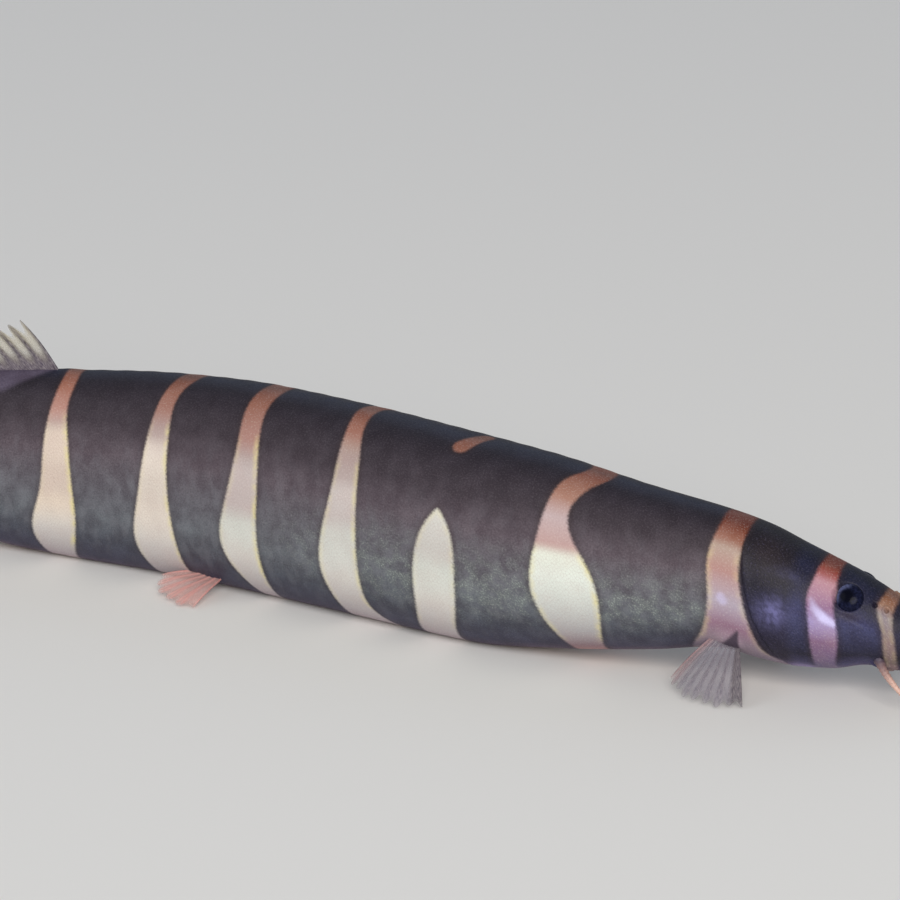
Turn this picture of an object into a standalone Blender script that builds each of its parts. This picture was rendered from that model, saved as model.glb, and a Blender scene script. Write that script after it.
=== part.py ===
"""Kuhli loach resting on its belly: a still, life-size model, one closed solid for each part of the body.

Frame: +Z up with the floor at Z = 0, +X towards the head, and the origin on the flat under the belly.
Stations and sizes are in millimetres. A station is measured back from the snout tip along the body, and
an angle round the body is in degrees: 0 on the right flank, 90 on the back, -90 under the belly.
MM turns millimetres into the metres of the mesh.
"""
import bmesh
import bpy
import numpy as np
from mathutils import Vector

MM = 0.001
GAP = 0.3                # kept between neighbouring parts
OVERSHOOT = 0.6          # how far a cutter or a sunk root passes the surface

# Body: heading of the centre line, height of the belly and back over the floor, and width over depth
STANDARD_LENGTH = 82.0
LINE_END = 92.0          # the centre line goes on through the tail fin
LINE_SAMPLES = 921
ORIGIN_STATION = 38.0
HEADING = (
    (0, 9.7), (12, 5.1), (22, -1.3), (32, -7.8), (42, -5.5), (52, 4.7), (64, 12.2), (74, 20), (92, 24),
)
BELLY = (
    (0, 3.5), (0.25, 2.75), (0.8, 2.1), (1.8, 1.82), (3, 1.85), (5, 1.48), (7, 1.38), (9, 1.55), (11, 1.86),
    (15, 1.23), (20, 0.5), (26, -0.12), (50, -0.12), (56, 0.1), (63, 1.35), (70, 2.3), (76, 2.5), (82, 2.15),
)
BACK = (
    (0, 3.7), (0.25, 4.4), (0.8, 5.12), (1.6, 5.6), (2.7, 6.24), (4.2, 6.97), (5.6, 7.54), (7, 8.08),
    (9, 8.88), (11, 9.4), (16, 10.2), (22, 11.16), (28, 11.62), (34, 11.86), (40, 11.92), (46, 11.63),
    (52, 11.08), (58, 10.4), (64, 9.75), (70, 9.3), (76, 9.1), (82, 9.2),
)
WIDTH_RATIO = (
    (0, 0.95), (1.5, 0.92), (4.2, 0.84), (8, 0.80), (12, 0.76), (18, 0.71), (28, 0.68), (42, 0.66),
    (54, 0.60), (64, 0.50), (72, 0.40), (82, 0.32),
)
SECTION_FULLNESS = 2.15  # 2 is a plain ellipse, more is squarer

# Where the body is parted. The head ends at the rear edge of the gill covers, which sweeps forward below
GILL_EDGE_TOP = 9.8
GILL_EDGE_SWEEP = 3.0
GILL_EDGE_START = 4.0
TRUNK_ENDS = {"trunk_front": 29.0, "trunk_middle": 49.5, "trunk_rear": 69.0, "tail_stem": STANDARD_LENGTH}
TRUNK_COLUMNS = 36
TRUNK_ROW = 1.7
HEAD_COLUMNS, HEAD_ROWS = 44, 25
HEAD_ROW_CROWDING = 2.0  # rows of the head lie closer towards the snout

# Mouth, under the snout: a crescent line with a lip on each side, the lower one in two lobes
MOUTH = {"station": 1.4, "sweep": 0.8, "half_angle": 38, "radius": 0.13, "sunk": 0.02}
UPPER_LIP = {"behind": -0.34, "from": -44, "to": 44, "radius": 0.3, "end_radius": 0.17, "sunk": 0.06}
LOWER_LIP = {"behind": 0.4, "from": 5, "to": 40, "radius": 0.36, "end_radius": 0.18, "sunk": 0.06}
CHIN_LOBE = {"behind": 0.82, "angle": 14, "radius": 0.32, "sunk": 0.02}
LIP_POINTS = 9

# Gill cover and cheek
GILL_COVER = {"station": 7.3, "angle": -8, "length": 1.9, "half_angle": 40, "rise": 0.16}
CHEEK = {"station": 5.0, "angle": -35, "length": 1.6, "half_angle": 34, "rise": 0.10}

# Eyes and nostrils
EYE_STATION, EYE_ANGLE = 4.05, 41.0
EYE_RADIUS, EYE_DEPTH = 0.82, 0.46
EYE_SUNK = 0.35          # from the head's surface to the centre of the eye
NOSTRIL_ANGLE = 46.0
FRONT_NOSTRIL_STATION, REAR_NOSTRIL_STATION = 2.0, 2.62
NOSTRIL_TUBE_RADIUS, NOSTRIL_TUBE_RISE = 0.26, 0.2
NOSTRIL_HOLE_RADIUS, NOSTRIL_HOLE_DEPTH = 0.13, 0.3

# Barbels: station and angle of the root, the way they point (forward, out, up) and their length
BARBELS = {
    "inner_rostral": {"root": (0.45, -44), "aim": (0.75, 0.30, -0.62), "length": 1.5},
    "outer_rostral": {"root": (0.85, -24), "aim": (0.50, 0.62, -0.60), "length": 1.9},
    "maxillary": {"root": (2.5, -42), "aim": (0.80, 0.40, -0.40), "length": 2.3},
}
BARBEL_ROOT_RADIUS, BARBEL_TIP_RADIUS = 0.26, 0.14
BARBEL_ROOT_GAP = 0.5    # from the skin to the middle of a root's slanting end
BARBEL_DROOP = 0.35      # how far the tip sinks below the straight line
BARBEL_POINTS = 5

# Fins: number of rays, rows along a ray, and half thicknesses of ray and web
WEB_LENGTH = 0.88        # the web ends short of the rays
RAY_HALF, WEB_HALF = 0.35, 0.26
RAY_TIP_HALF, WEB_TIP_HALF = 0.19, 0.14
DORSAL = {"rays": 8, "rows": 7, "base": (53.7, 59.8), "sweep": (2.6, 2.6), "rise": (2.45, 1.3)}
DORSAL_BOW = (0.4, 0.04, 0.36)
ANAL = {"rays": 7, "rows": 6, "base": (63.2, 67.4), "sweep": (3.3, 3.1), "tip_height": (0.12, 0.7)}
CAUDAL = {"rays": 16, "rows": 9, "end": 91.4, "corner": 1.3, "height": (0.0, 10.6), "root_half": 0.85}
PECTORAL = {"rays": 9, "rows": 8, "base": (9.9, 11.1), "angle": (-48, -42), "fan": (125, 17), "reach": 2.9}
PELVIC = {"rays": 6, "rows": 7, "base": (42.0, 43.2), "angle": (-58, -56), "fan": (105, 12), "reach": 3.3}
PAIRED_TIP_HEIGHT = 0.18
PAIRED_TRAILING_LIFT = {"pectoral_fin": 0.5, "pelvic_fin": 0.5}
PAIRED_BOW = 0.35

SKIN_DARK = {"colour": (0.075, 0.058, 0.072), "roughness": 0.38}
FIN_GREY = {"colour": (0.30, 0.26, 0.27), "roughness": 0.45}
FIN_PINK = {"colour": (0.55, 0.30, 0.27), "roughness": 0.45}
BARBEL_PINK = {"colour": (0.52, 0.33, 0.24), "roughness": 0.45}
EYE_DARK = {"colour": (0.010, 0.012, 0.035), "roughness": 0.08}

BELOW = -90.0
SIDES = {"right": 1, "left": -1}
ROUND_SIDES = 10
TUBE_FLARE = 1.25
BALL_SEGMENTS, BALL_RINGS = 14, 9
TUBE_BEVEL = 2
WELD = 0.0001
FLESHY_ROOT_SPAN = 0.96
FLESHY_ROOT_FADE = 2


def smooth(table, x):
    """The value at x of a smooth curve through the table's points that never overshoots them."""
    knots, values = np.array(table, float).T
    step = np.diff(knots)
    slope = np.diff(values) / step
    tangent = np.concatenate([slope[:1], np.zeros(len(knots) - 2), slope[-1:]])
    for i in range(1, len(knots) - 1):
        if slope[i - 1] * slope[i] > 0:
            before, after = 2 * step[i] + step[i - 1], step[i] + 2 * step[i - 1]
            tangent[i] = (before + after) / (before / slope[i - 1] + after / slope[i])
    i = np.clip(np.searchsorted(knots, x) - 1, 0, len(step) - 1)
    t = (np.asarray(x, float) - knots[i]) / step[i]
    start = (2 * t**3 - 3 * t**2 + 1) * values[i] + (t**3 - 2 * t**2 + t) * step[i] * tangent[i]
    end = (3 * t**2 - 2 * t**3) * values[i + 1] + (t**3 - t**2) * step[i] * tangent[i + 1]
    return start + end


def centre_line():
    """Stations along the body with the x and y of each, from the heading, and the origin's station at 0."""
    stations = np.linspace(0, LINE_END, LINE_SAMPLES)
    heading = np.radians(smooth(HEADING, stations))
    step = stations[1] - stations[0]
    x = -np.concatenate([[0], np.cumsum((np.cos(heading[1:]) + np.cos(heading[:-1])) / 2 * step)])
    y = -np.concatenate([[0], np.cumsum((np.sin(heading[1:]) + np.sin(heading[:-1])) / 2 * step)])
    x -= np.interp(ORIGIN_STATION, stations, x)
    y -= np.interp(ORIGIN_STATION, stations, y)
    return stations, x, y


LINE = centre_line()


def place(station, out, height):
    """A point at a station, so far out to the right of the centre line, and so high over the floor."""
    heading = np.radians(smooth(HEADING, station))
    x = np.interp(station, LINE[0], LINE[1]) + out * np.sin(heading)
    y = np.interp(station, LINE[0], LINE[2]) - out * np.cos(heading)
    return np.stack(np.broadcast_arrays(x, y, height), axis=-1)


def level(angle):
    """The angle above the horizontal, alike on both flanks."""
    return np.degrees(np.arcsin(np.clip(np.sin(np.radians(angle)), -1, 1)))


def bump(value, centre, spread):
    return np.exp(-(((value - centre) / spread) ** 2))


def head_relief(station, angle):
    """How far the cheeks and gill covers stand out from the plain section."""
    swell = 0
    for form in (GILL_COVER, CHEEK):
        round_body = bump(level(angle), form["angle"], form["half_angle"])
        swell = swell + form["rise"] * bump(station, form["station"], form["length"]) * round_body
    return swell


def section_point(station, angle, out=0.0):
    """How far out to the right, and how high, a point of the surface lies, or one so far out from it."""
    low, high = smooth(BELLY, station), smooth(BACK, station)
    half_height = (high - low) / 2
    half_width = half_height * smooth(WIDTH_RATIO, station)
    c, s = np.cos(np.radians(angle)), np.sin(np.radians(angle))
    side = np.sign(c) * np.abs(c) ** (2 / SECTION_FULLNESS)
    rise = np.sign(s) * np.abs(s) ** (2 / SECTION_FULLNESS)
    lift = out + head_relief(station, angle) * (station < GILL_EDGE_TOP + GAP)
    slant = np.hypot(c * half_height, s * half_width)
    across = half_width * side + lift * c * half_height / slant
    height = (low + high) / 2 + half_height * rise + lift * s * half_width / slant
    return across, np.maximum(height, 0)


def body_point(station, angle, out=0.0):
    """A point on the body's surface, or so far out from it across the section."""
    return place(station, *section_point(station, angle, out))


def outward(station, angle):
    """The direction straight out from the body at a point of its surface."""
    way = body_point(station, angle, OVERSHOOT) - body_point(station, angle)
    return way / np.linalg.norm(way)


def gill_edge(angle):
    """Station of the gill covers' rear edge at an angle round the body."""
    return GILL_EDGE_TOP - GILL_EDGE_SWEEP * ((1 - np.sin(np.radians(angle))) / 2) ** 2


def material(name, look):
    """A plain skin material, or the one of that name if it is there already."""
    made = bpy.data.materials.get(name) or bpy.data.materials.new(name)
    made.use_nodes = True
    shader = made.node_tree.nodes["Principled BSDF"]
    shader.inputs["Base Color"].default_value = (*look["colour"], 1)
    shader.inputs["Roughness"].default_value = look["roughness"]
    return made


def solid(name, bm, look, collection):
    """A named object from a closed bmesh in millimetres."""
    bmesh.ops.scale(bm, vec=(MM, MM, MM), verts=bm.verts)
    bmesh.ops.recalc_face_normals(bm, faces=bm.faces)
    mesh = bpy.data.meshes.new(name)
    bm.to_mesh(mesh)
    bm.free()
    mesh.shade_smooth()
    mesh.materials.append(material(look[0], look[1]))
    made = bpy.data.objects.new(name, mesh)
    collection.objects.link(made)
    return made


def loft(name, rings, caps, look, collection):
    """A closed solid through rings of points, with a fan to a middle point at each end."""
    bm = bmesh.new()
    loops = [[bm.verts.new(point) for point in ring] for ring in rings]
    for near, far in zip(loops, loops[1:]):
        for k, corner in enumerate(near):
            j = (k + 1) % len(near)
            bm.faces.new((corner, near[j], far[j], far[k]))
    for loop, cap in ((loops[0], caps[0]), (loops[-1], caps[1])):
        middle = bm.verts.new(cap)
        for k, corner in enumerate(loop):
            bm.faces.new((corner, loop[(k + 1) % len(loop)], middle))
    return solid(name, bm, look, collection)


def section_middle(station):
    return place(station, 0.0, (smooth(BELLY, station) + smooth(BACK, station)) / 2)


def make_head(collection):
    """Head with lips, mouth, eye sockets and nostrils, back to the edge of the gill covers."""
    angles = np.linspace(0, 360, HEAD_COLUMNS, endpoint=False)
    rows = GILL_EDGE_TOP * np.linspace(0, 1, HEAD_ROWS) ** HEAD_ROW_CROWDING
    rings = []
    for row in rows:
        pull = np.clip((row - GILL_EDGE_START) / (GILL_EDGE_TOP - GILL_EDGE_START), 0, 1)
        stations = row - (GILL_EDGE_TOP - gill_edge(angles)) * pull
        rings.append(body_point(stations, angles))
    caps = section_middle(0.0), section_middle(gill_edge(0.0))
    return loft("head", rings, caps, ("skin", SKIN_DARK), collection)


def make_trunk(collection):
    """The lengths of the body behind the head, parted by thin straight cuts."""
    angles = BELOW + np.linspace(0, 360, TRUNK_COLUMNS, endpoint=False)
    start, first_cap = gill_edge(angles) + GAP, gill_edge(0.0) + GAP
    for name, end in TRUNK_ENDS.items():
        count = round((end - np.mean(start)) / TRUNK_ROW) + 1
        rings = [body_point(start + (end - start) * f, angles) for f in np.linspace(0, 1, count)]
        caps = section_middle(first_cap), section_middle(end)
        loft(name, rings, caps, ("skin", SKIN_DARK), collection)
        start, first_cap = np.full(len(angles), end + GAP), end + GAP


def round_piece(name, base, way, radii, length, collection):
    """A short tapered piece from a base point along a direction, with a radius at each end."""
    bm = bmesh.new()
    bmesh.ops.create_cone(
        bm, cap_ends=True, segments=ROUND_SIDES, radius1=radii[0], radius2=radii[1], depth=length
    )
    bmesh.ops.translate(bm, vec=(0, 0, length / 2), verts=bm.verts)
    turn = Vector((0, 0, 1)).rotation_difference(Vector(way)).to_matrix()
    bmesh.ops.rotate(bm, matrix=turn, verts=bm.verts)
    bmesh.ops.translate(bm, vec=base, verts=bm.verts)
    return solid(name, bm, ("skin", SKIN_DARK), collection)


def ball(name, centre, way, radius, depth, look, collection):
    """A ball flattened along one direction."""
    bm = bmesh.new()
    bmesh.ops.create_uvsphere(bm, u_segments=BALL_SEGMENTS, v_segments=BALL_RINGS, radius=radius)
    bmesh.ops.scale(bm, vec=(1, 1, depth / radius), verts=bm.verts)
    turn = Vector((0, 0, 1)).rotation_difference(Vector(way)).to_matrix()
    bmesh.ops.rotate(bm, matrix=turn, verts=bm.verts)
    bmesh.ops.translate(bm, vec=centre, verts=bm.verts)
    return solid(name, bm, look, collection)


def tube(name, points, radii, look, collection):
    """A closed round bar along points, with a radius at each, made as a bevelled curve and then a mesh."""
    curve = bpy.data.curves.new(name, "CURVE")
    curve.dimensions = "3D"
    curve.bevel_depth = 1
    curve.bevel_resolution = TUBE_BEVEL
    curve.use_fill_caps = True
    spline = curve.splines.new("POLY")
    spline.points.add(len(points) - 1)
    for point, at, radius in zip(spline.points, points, radii):
        point.co = (*at, 1)
        point.radius = radius
    guide = bpy.data.objects.new("guide", curve)
    collection.objects.link(guide)
    bpy.context.view_layer.update()
    evaluated = guide.evaluated_get(bpy.context.evaluated_depsgraph_get())
    bm = bmesh.new()
    bm.from_mesh(bpy.data.meshes.new_from_object(evaluated))
    bmesh.ops.remove_doubles(bm, verts=bm.verts, dist=WELD)
    bpy.data.objects.remove(guide, do_unlink=True)
    return solid(name, bm, look, collection)


def keep_largest(mesh):
    """Keeps only the largest closed surface of a mesh."""
    bm = bmesh.new()
    bm.from_mesh(mesh)
    bmesh.ops.triangulate(bm, faces=bm.faces)
    unseen, bodies = set(bm.faces), []
    while unseen:
        found = [unseen.pop()]
        for face in found:
            near = {other for edge in face.edges for other in edge.link_faces} & unseen
            unseen -= near
            found.extend(near)
        bodies.append(found)
    bodies.sort(key=len)
    for scrap in bodies[:-1]:
        bmesh.ops.delete(bm, geom=scrap, context="FACES")
    bm.to_mesh(mesh)
    bm.free()


def combine(made, pieces, operation):
    """Joins the pieces' collection to an object or cuts it away, and removes the pieces."""
    boolean = made.modifiers.new(operation.lower(), "BOOLEAN")
    boolean.operation = operation
    boolean.operand_type = "COLLECTION"
    boolean.collection = pieces
    boolean.solver = "EXACT"
    bpy.context.view_layer.update()
    evaluated = made.evaluated_get(bpy.context.evaluated_depsgraph_get())
    result = bpy.data.meshes.new_from_object(evaluated)
    made.modifiers.clear()
    made.data = result
    keep_largest(result)
    for piece in list(pieces.objects):
        bpy.data.objects.remove(piece, do_unlink=True)
    bpy.data.collections.remove(pieces)


def new_collection(name):
    made = bpy.data.collections.new(name)
    bpy.context.scene.collection.children.link(made)
    return made


def on_side(angle, side):
    """The same place on the right flank, side 1, or on the left one, side -1."""
    return angle if side > 0 else 180 - angle


def lip_line(spec, steps, side=1):
    """Points along the mouth's crescent, so far behind its line and under the skin, from left to right."""
    turn = np.linspace(spec["from"], spec["to"], steps)
    station = MOUTH["station"] + spec["behind"] + MOUTH["sweep"] * (turn / MOUTH["half_angle"]) ** 2
    return body_point(station, BELOW + side * turn, -spec["sunk"])


def make_lips(pieces):
    """The upper lip in one arc and the lower one in two lobes, each with a short blunt end on the chin."""
    across = np.linspace(-1, 1, LIP_POINTS)
    radii = UPPER_LIP["radius"] + (UPPER_LIP["end_radius"] - UPPER_LIP["radius"]) * across**2
    tube("upper_lip", lip_line(UPPER_LIP, LIP_POINTS), radii, ("skin", SKIN_DARK), pieces)
    outwards = np.linspace(0, 1, LIP_POINTS // 2 + 1)
    radii = LOWER_LIP["radius"] + (LOWER_LIP["end_radius"] - LOWER_LIP["radius"]) * outwards
    for side in SIDES.values():
        tube("lower_lip", lip_line(LOWER_LIP, len(outwards), side), radii, ("skin", SKIN_DARK), pieces)
        station, angle = MOUTH["station"] + CHIN_LOBE["behind"], BELOW + side * CHIN_LOBE["angle"]
        centre = body_point(station, angle, -CHIN_LOBE["sunk"])
        radius = CHIN_LOBE["radius"]
        ball("chin_lobe", centre, outward(station, angle), radius, radius, ("skin", SKIN_DARK), pieces)


def shape_face(head):
    """Lips and nostril tubes joined to the head, then mouth, nostrils and eye sockets cut in it."""
    joined, cutters = new_collection("face_pieces"), new_collection("face_cutters")
    make_lips(joined)
    line = {**MOUTH, "behind": 0, "from": -MOUTH["half_angle"], "to": MOUTH["half_angle"]}
    radii = [MOUTH["radius"]] * LIP_POINTS
    tube("mouth", lip_line(line, LIP_POINTS), radii, ("skin", SKIN_DARK), cutters)
    for side in SIDES.values():
        angle = on_side(NOSTRIL_ANGLE, side)
        way = outward(FRONT_NOSTRIL_STATION, angle)
        root = body_point(FRONT_NOSTRIL_STATION, angle, -OVERSHOOT)
        radii = NOSTRIL_TUBE_RADIUS * TUBE_FLARE, NOSTRIL_TUBE_RADIUS
        round_piece("nostril_tube", root, way, radii, OVERSHOOT + NOSTRIL_TUBE_RISE, joined)
        for station in (FRONT_NOSTRIL_STATION, REAR_NOSTRIL_STATION):
            bottom = body_point(station, angle, -NOSTRIL_HOLE_DEPTH)
            radii = NOSTRIL_HOLE_RADIUS, NOSTRIL_HOLE_RADIUS
            way = outward(station, angle)
            round_piece("nostril", bottom, way, radii, NOSTRIL_HOLE_DEPTH + OVERSHOOT, cutters)
        ball("socket", *eye_place(side), EYE_RADIUS + GAP, EYE_DEPTH + GAP, ("skin", SKIN_DARK), cutters)
    combine(head, joined, "UNION")
    combine(head, cutters, "DIFFERENCE")


def eye_place(side):
    """Centre of an eye and the direction it looks in."""
    angle = on_side(EYE_ANGLE, side)
    return body_point(EYE_STATION, angle, -EYE_SUNK), outward(EYE_STATION, angle)


def make_eyes(collection):
    for word, side in SIDES.items():
        ball(f"eye_{word}", *eye_place(side), EYE_RADIUS, EYE_DEPTH, ("eye", EYE_DARK), collection)


def make_barbels(collection):
    """Three pairs of short tapered barbels round the mouth, drooping towards the floor."""
    along = np.linspace(0, 1, BARBEL_POINTS)
    radii = BARBEL_ROOT_RADIUS + (BARBEL_TIP_RADIUS - BARBEL_ROOT_RADIUS) * along
    droop = np.array([0, 0, -BARBEL_DROOP])
    for kind, spec in BARBELS.items():
        for word, side in SIDES.items():
            station, angle = spec["root"]
            root = body_point(station, on_side(angle, side), BARBEL_ROOT_GAP)
            forward, out, up = np.array(spec["aim"]) / np.linalg.norm(spec["aim"]) * spec["length"]
            reach = place(station - forward, side * out, up) - place(station, 0, 0)
            points = root + reach * along[:, None] + droop * along[:, None] ** 2
            tube(f"barbel_{kind}_{word}", points, radii, ("barbel", BARBEL_PINK), collection)


def membrane(name, grid, half, look, collection):
    """A closed thin solid about a grid of points, rows from root to tip, with a half thickness at each."""
    normal = np.cross(np.gradient(grid, axis=0), np.gradient(grid, axis=1))
    normal /= np.linalg.norm(normal, axis=2, keepdims=True)
    bm = bmesh.new()
    faces = []
    for side in (1, -1):
        points = grid + side * normal * half[:, :, None]
        points[:, :, 2] = np.maximum(points[:, :, 2], 0)
        faces.append([[bm.verts.new(point) for point in row] for row in points])
    last_row, last_column = grid.shape[0] - 1, grid.shape[1] - 1
    for sheet in faces:
        for r in range(last_row):
            for c in range(last_column):
                corners = sheet[r][c], sheet[r + 1][c], sheet[r + 1][c + 1], sheet[r][c + 1]
                bm.faces.new((corners[0], corners[1], corners[3]))
                bm.faces.new((corners[1], corners[2], corners[3]))
    rim = [(0, c) for c in range(last_column)] + [(r, last_column) for r in range(last_row)]
    rim += [(last_row, c) for c in range(last_column, 0, -1)] + [(r, 0) for r in range(last_row, 0, -1)]
    for here, there in zip(rim, rim[1:] + rim[:1]):
        a, b = (faces[0][r][c] for r, c in (here, there))
        d, e = (faces[1][r][c] for r, c in (here, there))
        bm.faces.new((a, b, e))
        bm.faces.new((a, e, d))
    return solid(name, bm, look, collection)


def fin(name, spec, root, tip, look, collection, bow=(0, 0, 0), root_half=0.0):
    """A fin whose rays stand up as ridges on the web and run a little past its edge."""
    across = np.linspace(0, 1, 2 * spec["rays"] - 1)
    is_ray = np.arange(len(across)) % 2 == 0
    along = np.linspace(0, 1, spec["rows"])
    reach = along[:, None] * np.where(is_ray, 1, WEB_LENGTH)
    roots, tips = root(across), tip(across)
    grid = roots + (tips - roots) * reach[:, :, None]
    grid = grid + np.array(bow) * np.sin(np.pi * reach / 2)[:, :, None] ** 2 * (1 - reach[:, :, None])
    thick = np.where(is_ray, RAY_HALF, WEB_HALF)
    thin = np.where(is_ray, RAY_TIP_HALF, WEB_TIP_HALF)
    half = thick + (thin - thick) * along[:, None] ** 2
    fleshy = root_half * np.sqrt(1 - (2 * across - 1) ** 2 * FLESHY_ROOT_SPAN)
    half = half + np.maximum(fleshy - thick, 0) * (1 - along[:, None]) ** FLESHY_ROOT_FADE
    return membrane(name, grid, half, look, collection)


def between(pair, t):
    return pair[0] + (pair[1] - pair[0]) * t


def make_dorsal(collection):
    def root(t):
        return body_point(between(DORSAL["base"], t), 90.0, GAP)

    def tip(t):
        station = between(DORSAL["base"], t)
        height = smooth(BACK, station) + GAP + between(DORSAL["rise"], t)
        return place(station + between(DORSAL["sweep"], t), 0.0, height)

    fin("dorsal_fin", DORSAL, root, tip, ("fin_grey", FIN_GREY), collection, bow=DORSAL_BOW)


def make_anal(collection):
    def root(t):
        return body_point(between(ANAL["base"], t), BELOW, GAP)

    def tip(t):
        station = between(ANAL["base"], t) + between(ANAL["sweep"], t)
        return place(station, 0.0, between(ANAL["tip_height"], t))

    fin("anal_fin", ANAL, root, tip, ("fin_pink", FIN_PINK), collection)


def make_caudal(collection):
    stem = smooth(BELLY, STANDARD_LENGTH), smooth(BACK, STANDARD_LENGTH)
    inset = RAY_HALF

    def root(t):
        return place(STANDARD_LENGTH + GAP, 0.0, between((stem[0] + inset, stem[1] - inset), t))

    def tip(t):
        station = CAUDAL["end"] - CAUDAL["corner"] * (2 * t - 1) ** 4
        return place(station, 0.0, between(CAUDAL["height"], t))

    fin("caudal_fin", CAUDAL, root, tip, ("fin_grey", FIN_GREY), collection, root_half=CAUDAL["root_half"])


def make_paired(name, spec, look, collection):
    """A pair of fins spread over the floor, fanning from forward and out to back along the body."""
    for word, side in SIDES.items():
        middle = between(spec["base"], 0.5)
        middle_out = section_point(middle, between(spec["angle"], 0.5), GAP)[0]

        def root(t):
            angles = on_side(between(spec["angle"], t), side)
            return body_point(between(spec["base"], t), angles, GAP)

        def tip(t):
            way = np.radians(between(spec["fan"], t))
            out = side * (middle_out + spec["reach"] * np.sin(way))
            height = PAIRED_TIP_HEIGHT + PAIRED_TRAILING_LIFT[name] * t**2
            return place(middle + spec["reach"] * np.cos(way), out, height)

        fin(f"{name}_{word}", spec, root, tip, look, collection, bow=(0, 0, PAIRED_BOW))


def main():
    for old in list(bpy.data.objects):
        bpy.data.objects.remove(old, do_unlink=True)
    fish = new_collection("kuhli_loach")
    shape_face(make_head(fish))
    make_trunk(fish)
    make_eyes(fish)
    make_barbels(fish)
    make_dorsal(fish)
    make_anal(fish)
    make_caudal(fish)
    make_paired("pectoral_fin", PECTORAL, ("fin_grey", FIN_GREY), fish)
    make_paired("pelvic_fin", PELVIC, ("fin_pink", FIN_PINK), fish)


main()
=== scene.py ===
"""Looks of the kuhli loach: one skin over the body's lengths, with fins, eyes and barbels of their own.

Sizes are in millimetres and stations are measured back from the snout tip along the body, as in the part's
source. An angle round the body is in degrees: 0 on the right flank, 90 on the back, -90 under the belly.
A height is that angle taken alike on both flanks. MM turns millimetres into metres. Colours are written as
they look on a screen, 0 to 255.
"""

import bpy
import numpy as np
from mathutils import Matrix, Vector


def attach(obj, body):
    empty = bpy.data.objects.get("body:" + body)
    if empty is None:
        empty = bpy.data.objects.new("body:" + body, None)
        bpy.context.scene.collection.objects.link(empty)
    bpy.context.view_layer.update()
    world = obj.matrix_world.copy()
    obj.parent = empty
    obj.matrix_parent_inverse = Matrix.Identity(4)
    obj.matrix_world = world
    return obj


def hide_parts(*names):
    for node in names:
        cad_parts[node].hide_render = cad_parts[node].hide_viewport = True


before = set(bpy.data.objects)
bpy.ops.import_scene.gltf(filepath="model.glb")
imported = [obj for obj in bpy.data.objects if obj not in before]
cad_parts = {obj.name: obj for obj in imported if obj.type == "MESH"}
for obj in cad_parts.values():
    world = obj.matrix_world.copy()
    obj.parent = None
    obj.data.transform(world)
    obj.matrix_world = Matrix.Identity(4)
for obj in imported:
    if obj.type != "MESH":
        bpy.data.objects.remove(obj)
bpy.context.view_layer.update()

MM = 0.001
SIDES = {"right": 1, "left": -1}
BELOW = -90.0

# The body's form, the same as in the solids, and carried on a little way into the root of the tail fin
STANDARD_LENGTH = 82.0
SKIN_END = 84.6
LINE_END = 92.0
LINE_SAMPLES = 921
ORIGIN_STATION = 38.0
HEADING = (
    (0, 9.7), (12, 5.1), (22, -1.3), (32, -7.8), (42, -5.5), (52, 4.7), (64, 12.2), (74, 20), (92, 24),
)
BELLY = (
    (0, 3.5), (0.25, 2.75), (0.8, 2.1), (1.8, 1.82), (3, 1.85), (5, 1.48), (7, 1.38), (9, 1.55), (11, 1.86),
    (15, 1.23), (20, 0.5), (26, -0.12), (50, -0.12), (56, 0.1), (63, 1.35), (70, 2.3), (76, 2.5), (82, 2.15),
    (84.6, 1.95),
)
BACK = (
    (0, 3.7), (0.25, 4.4), (0.8, 5.12), (1.6, 5.6), (2.7, 6.24), (4.2, 6.97), (5.6, 7.54), (7, 8.08),
    (9, 8.88), (11, 9.4), (16, 10.2), (22, 11.16), (28, 11.62), (34, 11.86), (40, 11.92), (46, 11.63),
    (52, 11.08), (58, 10.4), (64, 9.75), (70, 9.3), (76, 9.1), (82, 9.2), (84.6, 9.35),
)
WIDTH_RATIO = (
    (0, 0.95), (1.5, 0.92), (4.2, 0.84), (8, 0.80), (12, 0.76), (18, 0.71), (28, 0.68), (42, 0.66),
    (54, 0.60), (64, 0.50), (72, 0.40), (82, 0.30), (83.4, 0.17), (84.6, 0.03),
)
SECTION_FULLNESS = 2.15
GILL_EDGE_TOP, GILL_EDGE_SWEEP = 9.8, 3.0
GILL_COVER = {"station": 7.3, "angle": -8, "length": 1.9, "half_angle": 40, "rise": 0.16}
CHEEK = {"station": 5.0, "angle": -35, "length": 1.6, "half_angle": 34, "rise": 0.10}

# Mouth, lips, nostrils and eyes, where the solids have them. A lip, a chin lobe or a nostril's pit ends at
# its radius, and the rim of an eye socket stands at its own
MOUTH = {"station": 1.4, "sweep": 0.8, "half_angle": 38, "behind": 0.0}
MOUTH_DEPTH, MOUTH_WIDTH, MOUTH_LIP_CUT = 0.2, 0.1, 0.6
UPPER_LIP = {"behind": -0.34, "half_angle": 44, "radius": 0.405, "rise": 0.2}
LOWER_LIP = {"behind": 0.4, "half_angle": 40, "radius": 0.459, "rise": 0.22, "notch": 5}
LIP_SAMPLES, LIP_CORNER_FADE = 81, 0.45
LIP_FOLDS, LIP_FOLD_DEPTH = 26, 0.012
CHIN_LOBE = {"station": 2.22, "angle": 14, "radius": 0.468, "rise": 0.2}
NOSTRIL_ANGLE = 46.0
NOSTRILS = {"front": {"station": 2.0, "rise": 0.17}, "rear": {"station": 2.62, "rise": 0.0425}}
NOSTRIL_RING, NOSTRIL_RING_WIDTH = 0.19, 0.08
NOSTRIL_PIT, NOSTRIL_DEPTH = 0.18, 0.26
EYE_STATION, EYE_ANGLE = 4.05, 41.0
EYE_RADIUS, EYE_DEPTH, EYE_SUNK = 0.82, 0.44, 0.35
SOCKET = {"edge": 0.84, "floor": 0.68, "dip": 0.22, "behind": 0.4}
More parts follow.
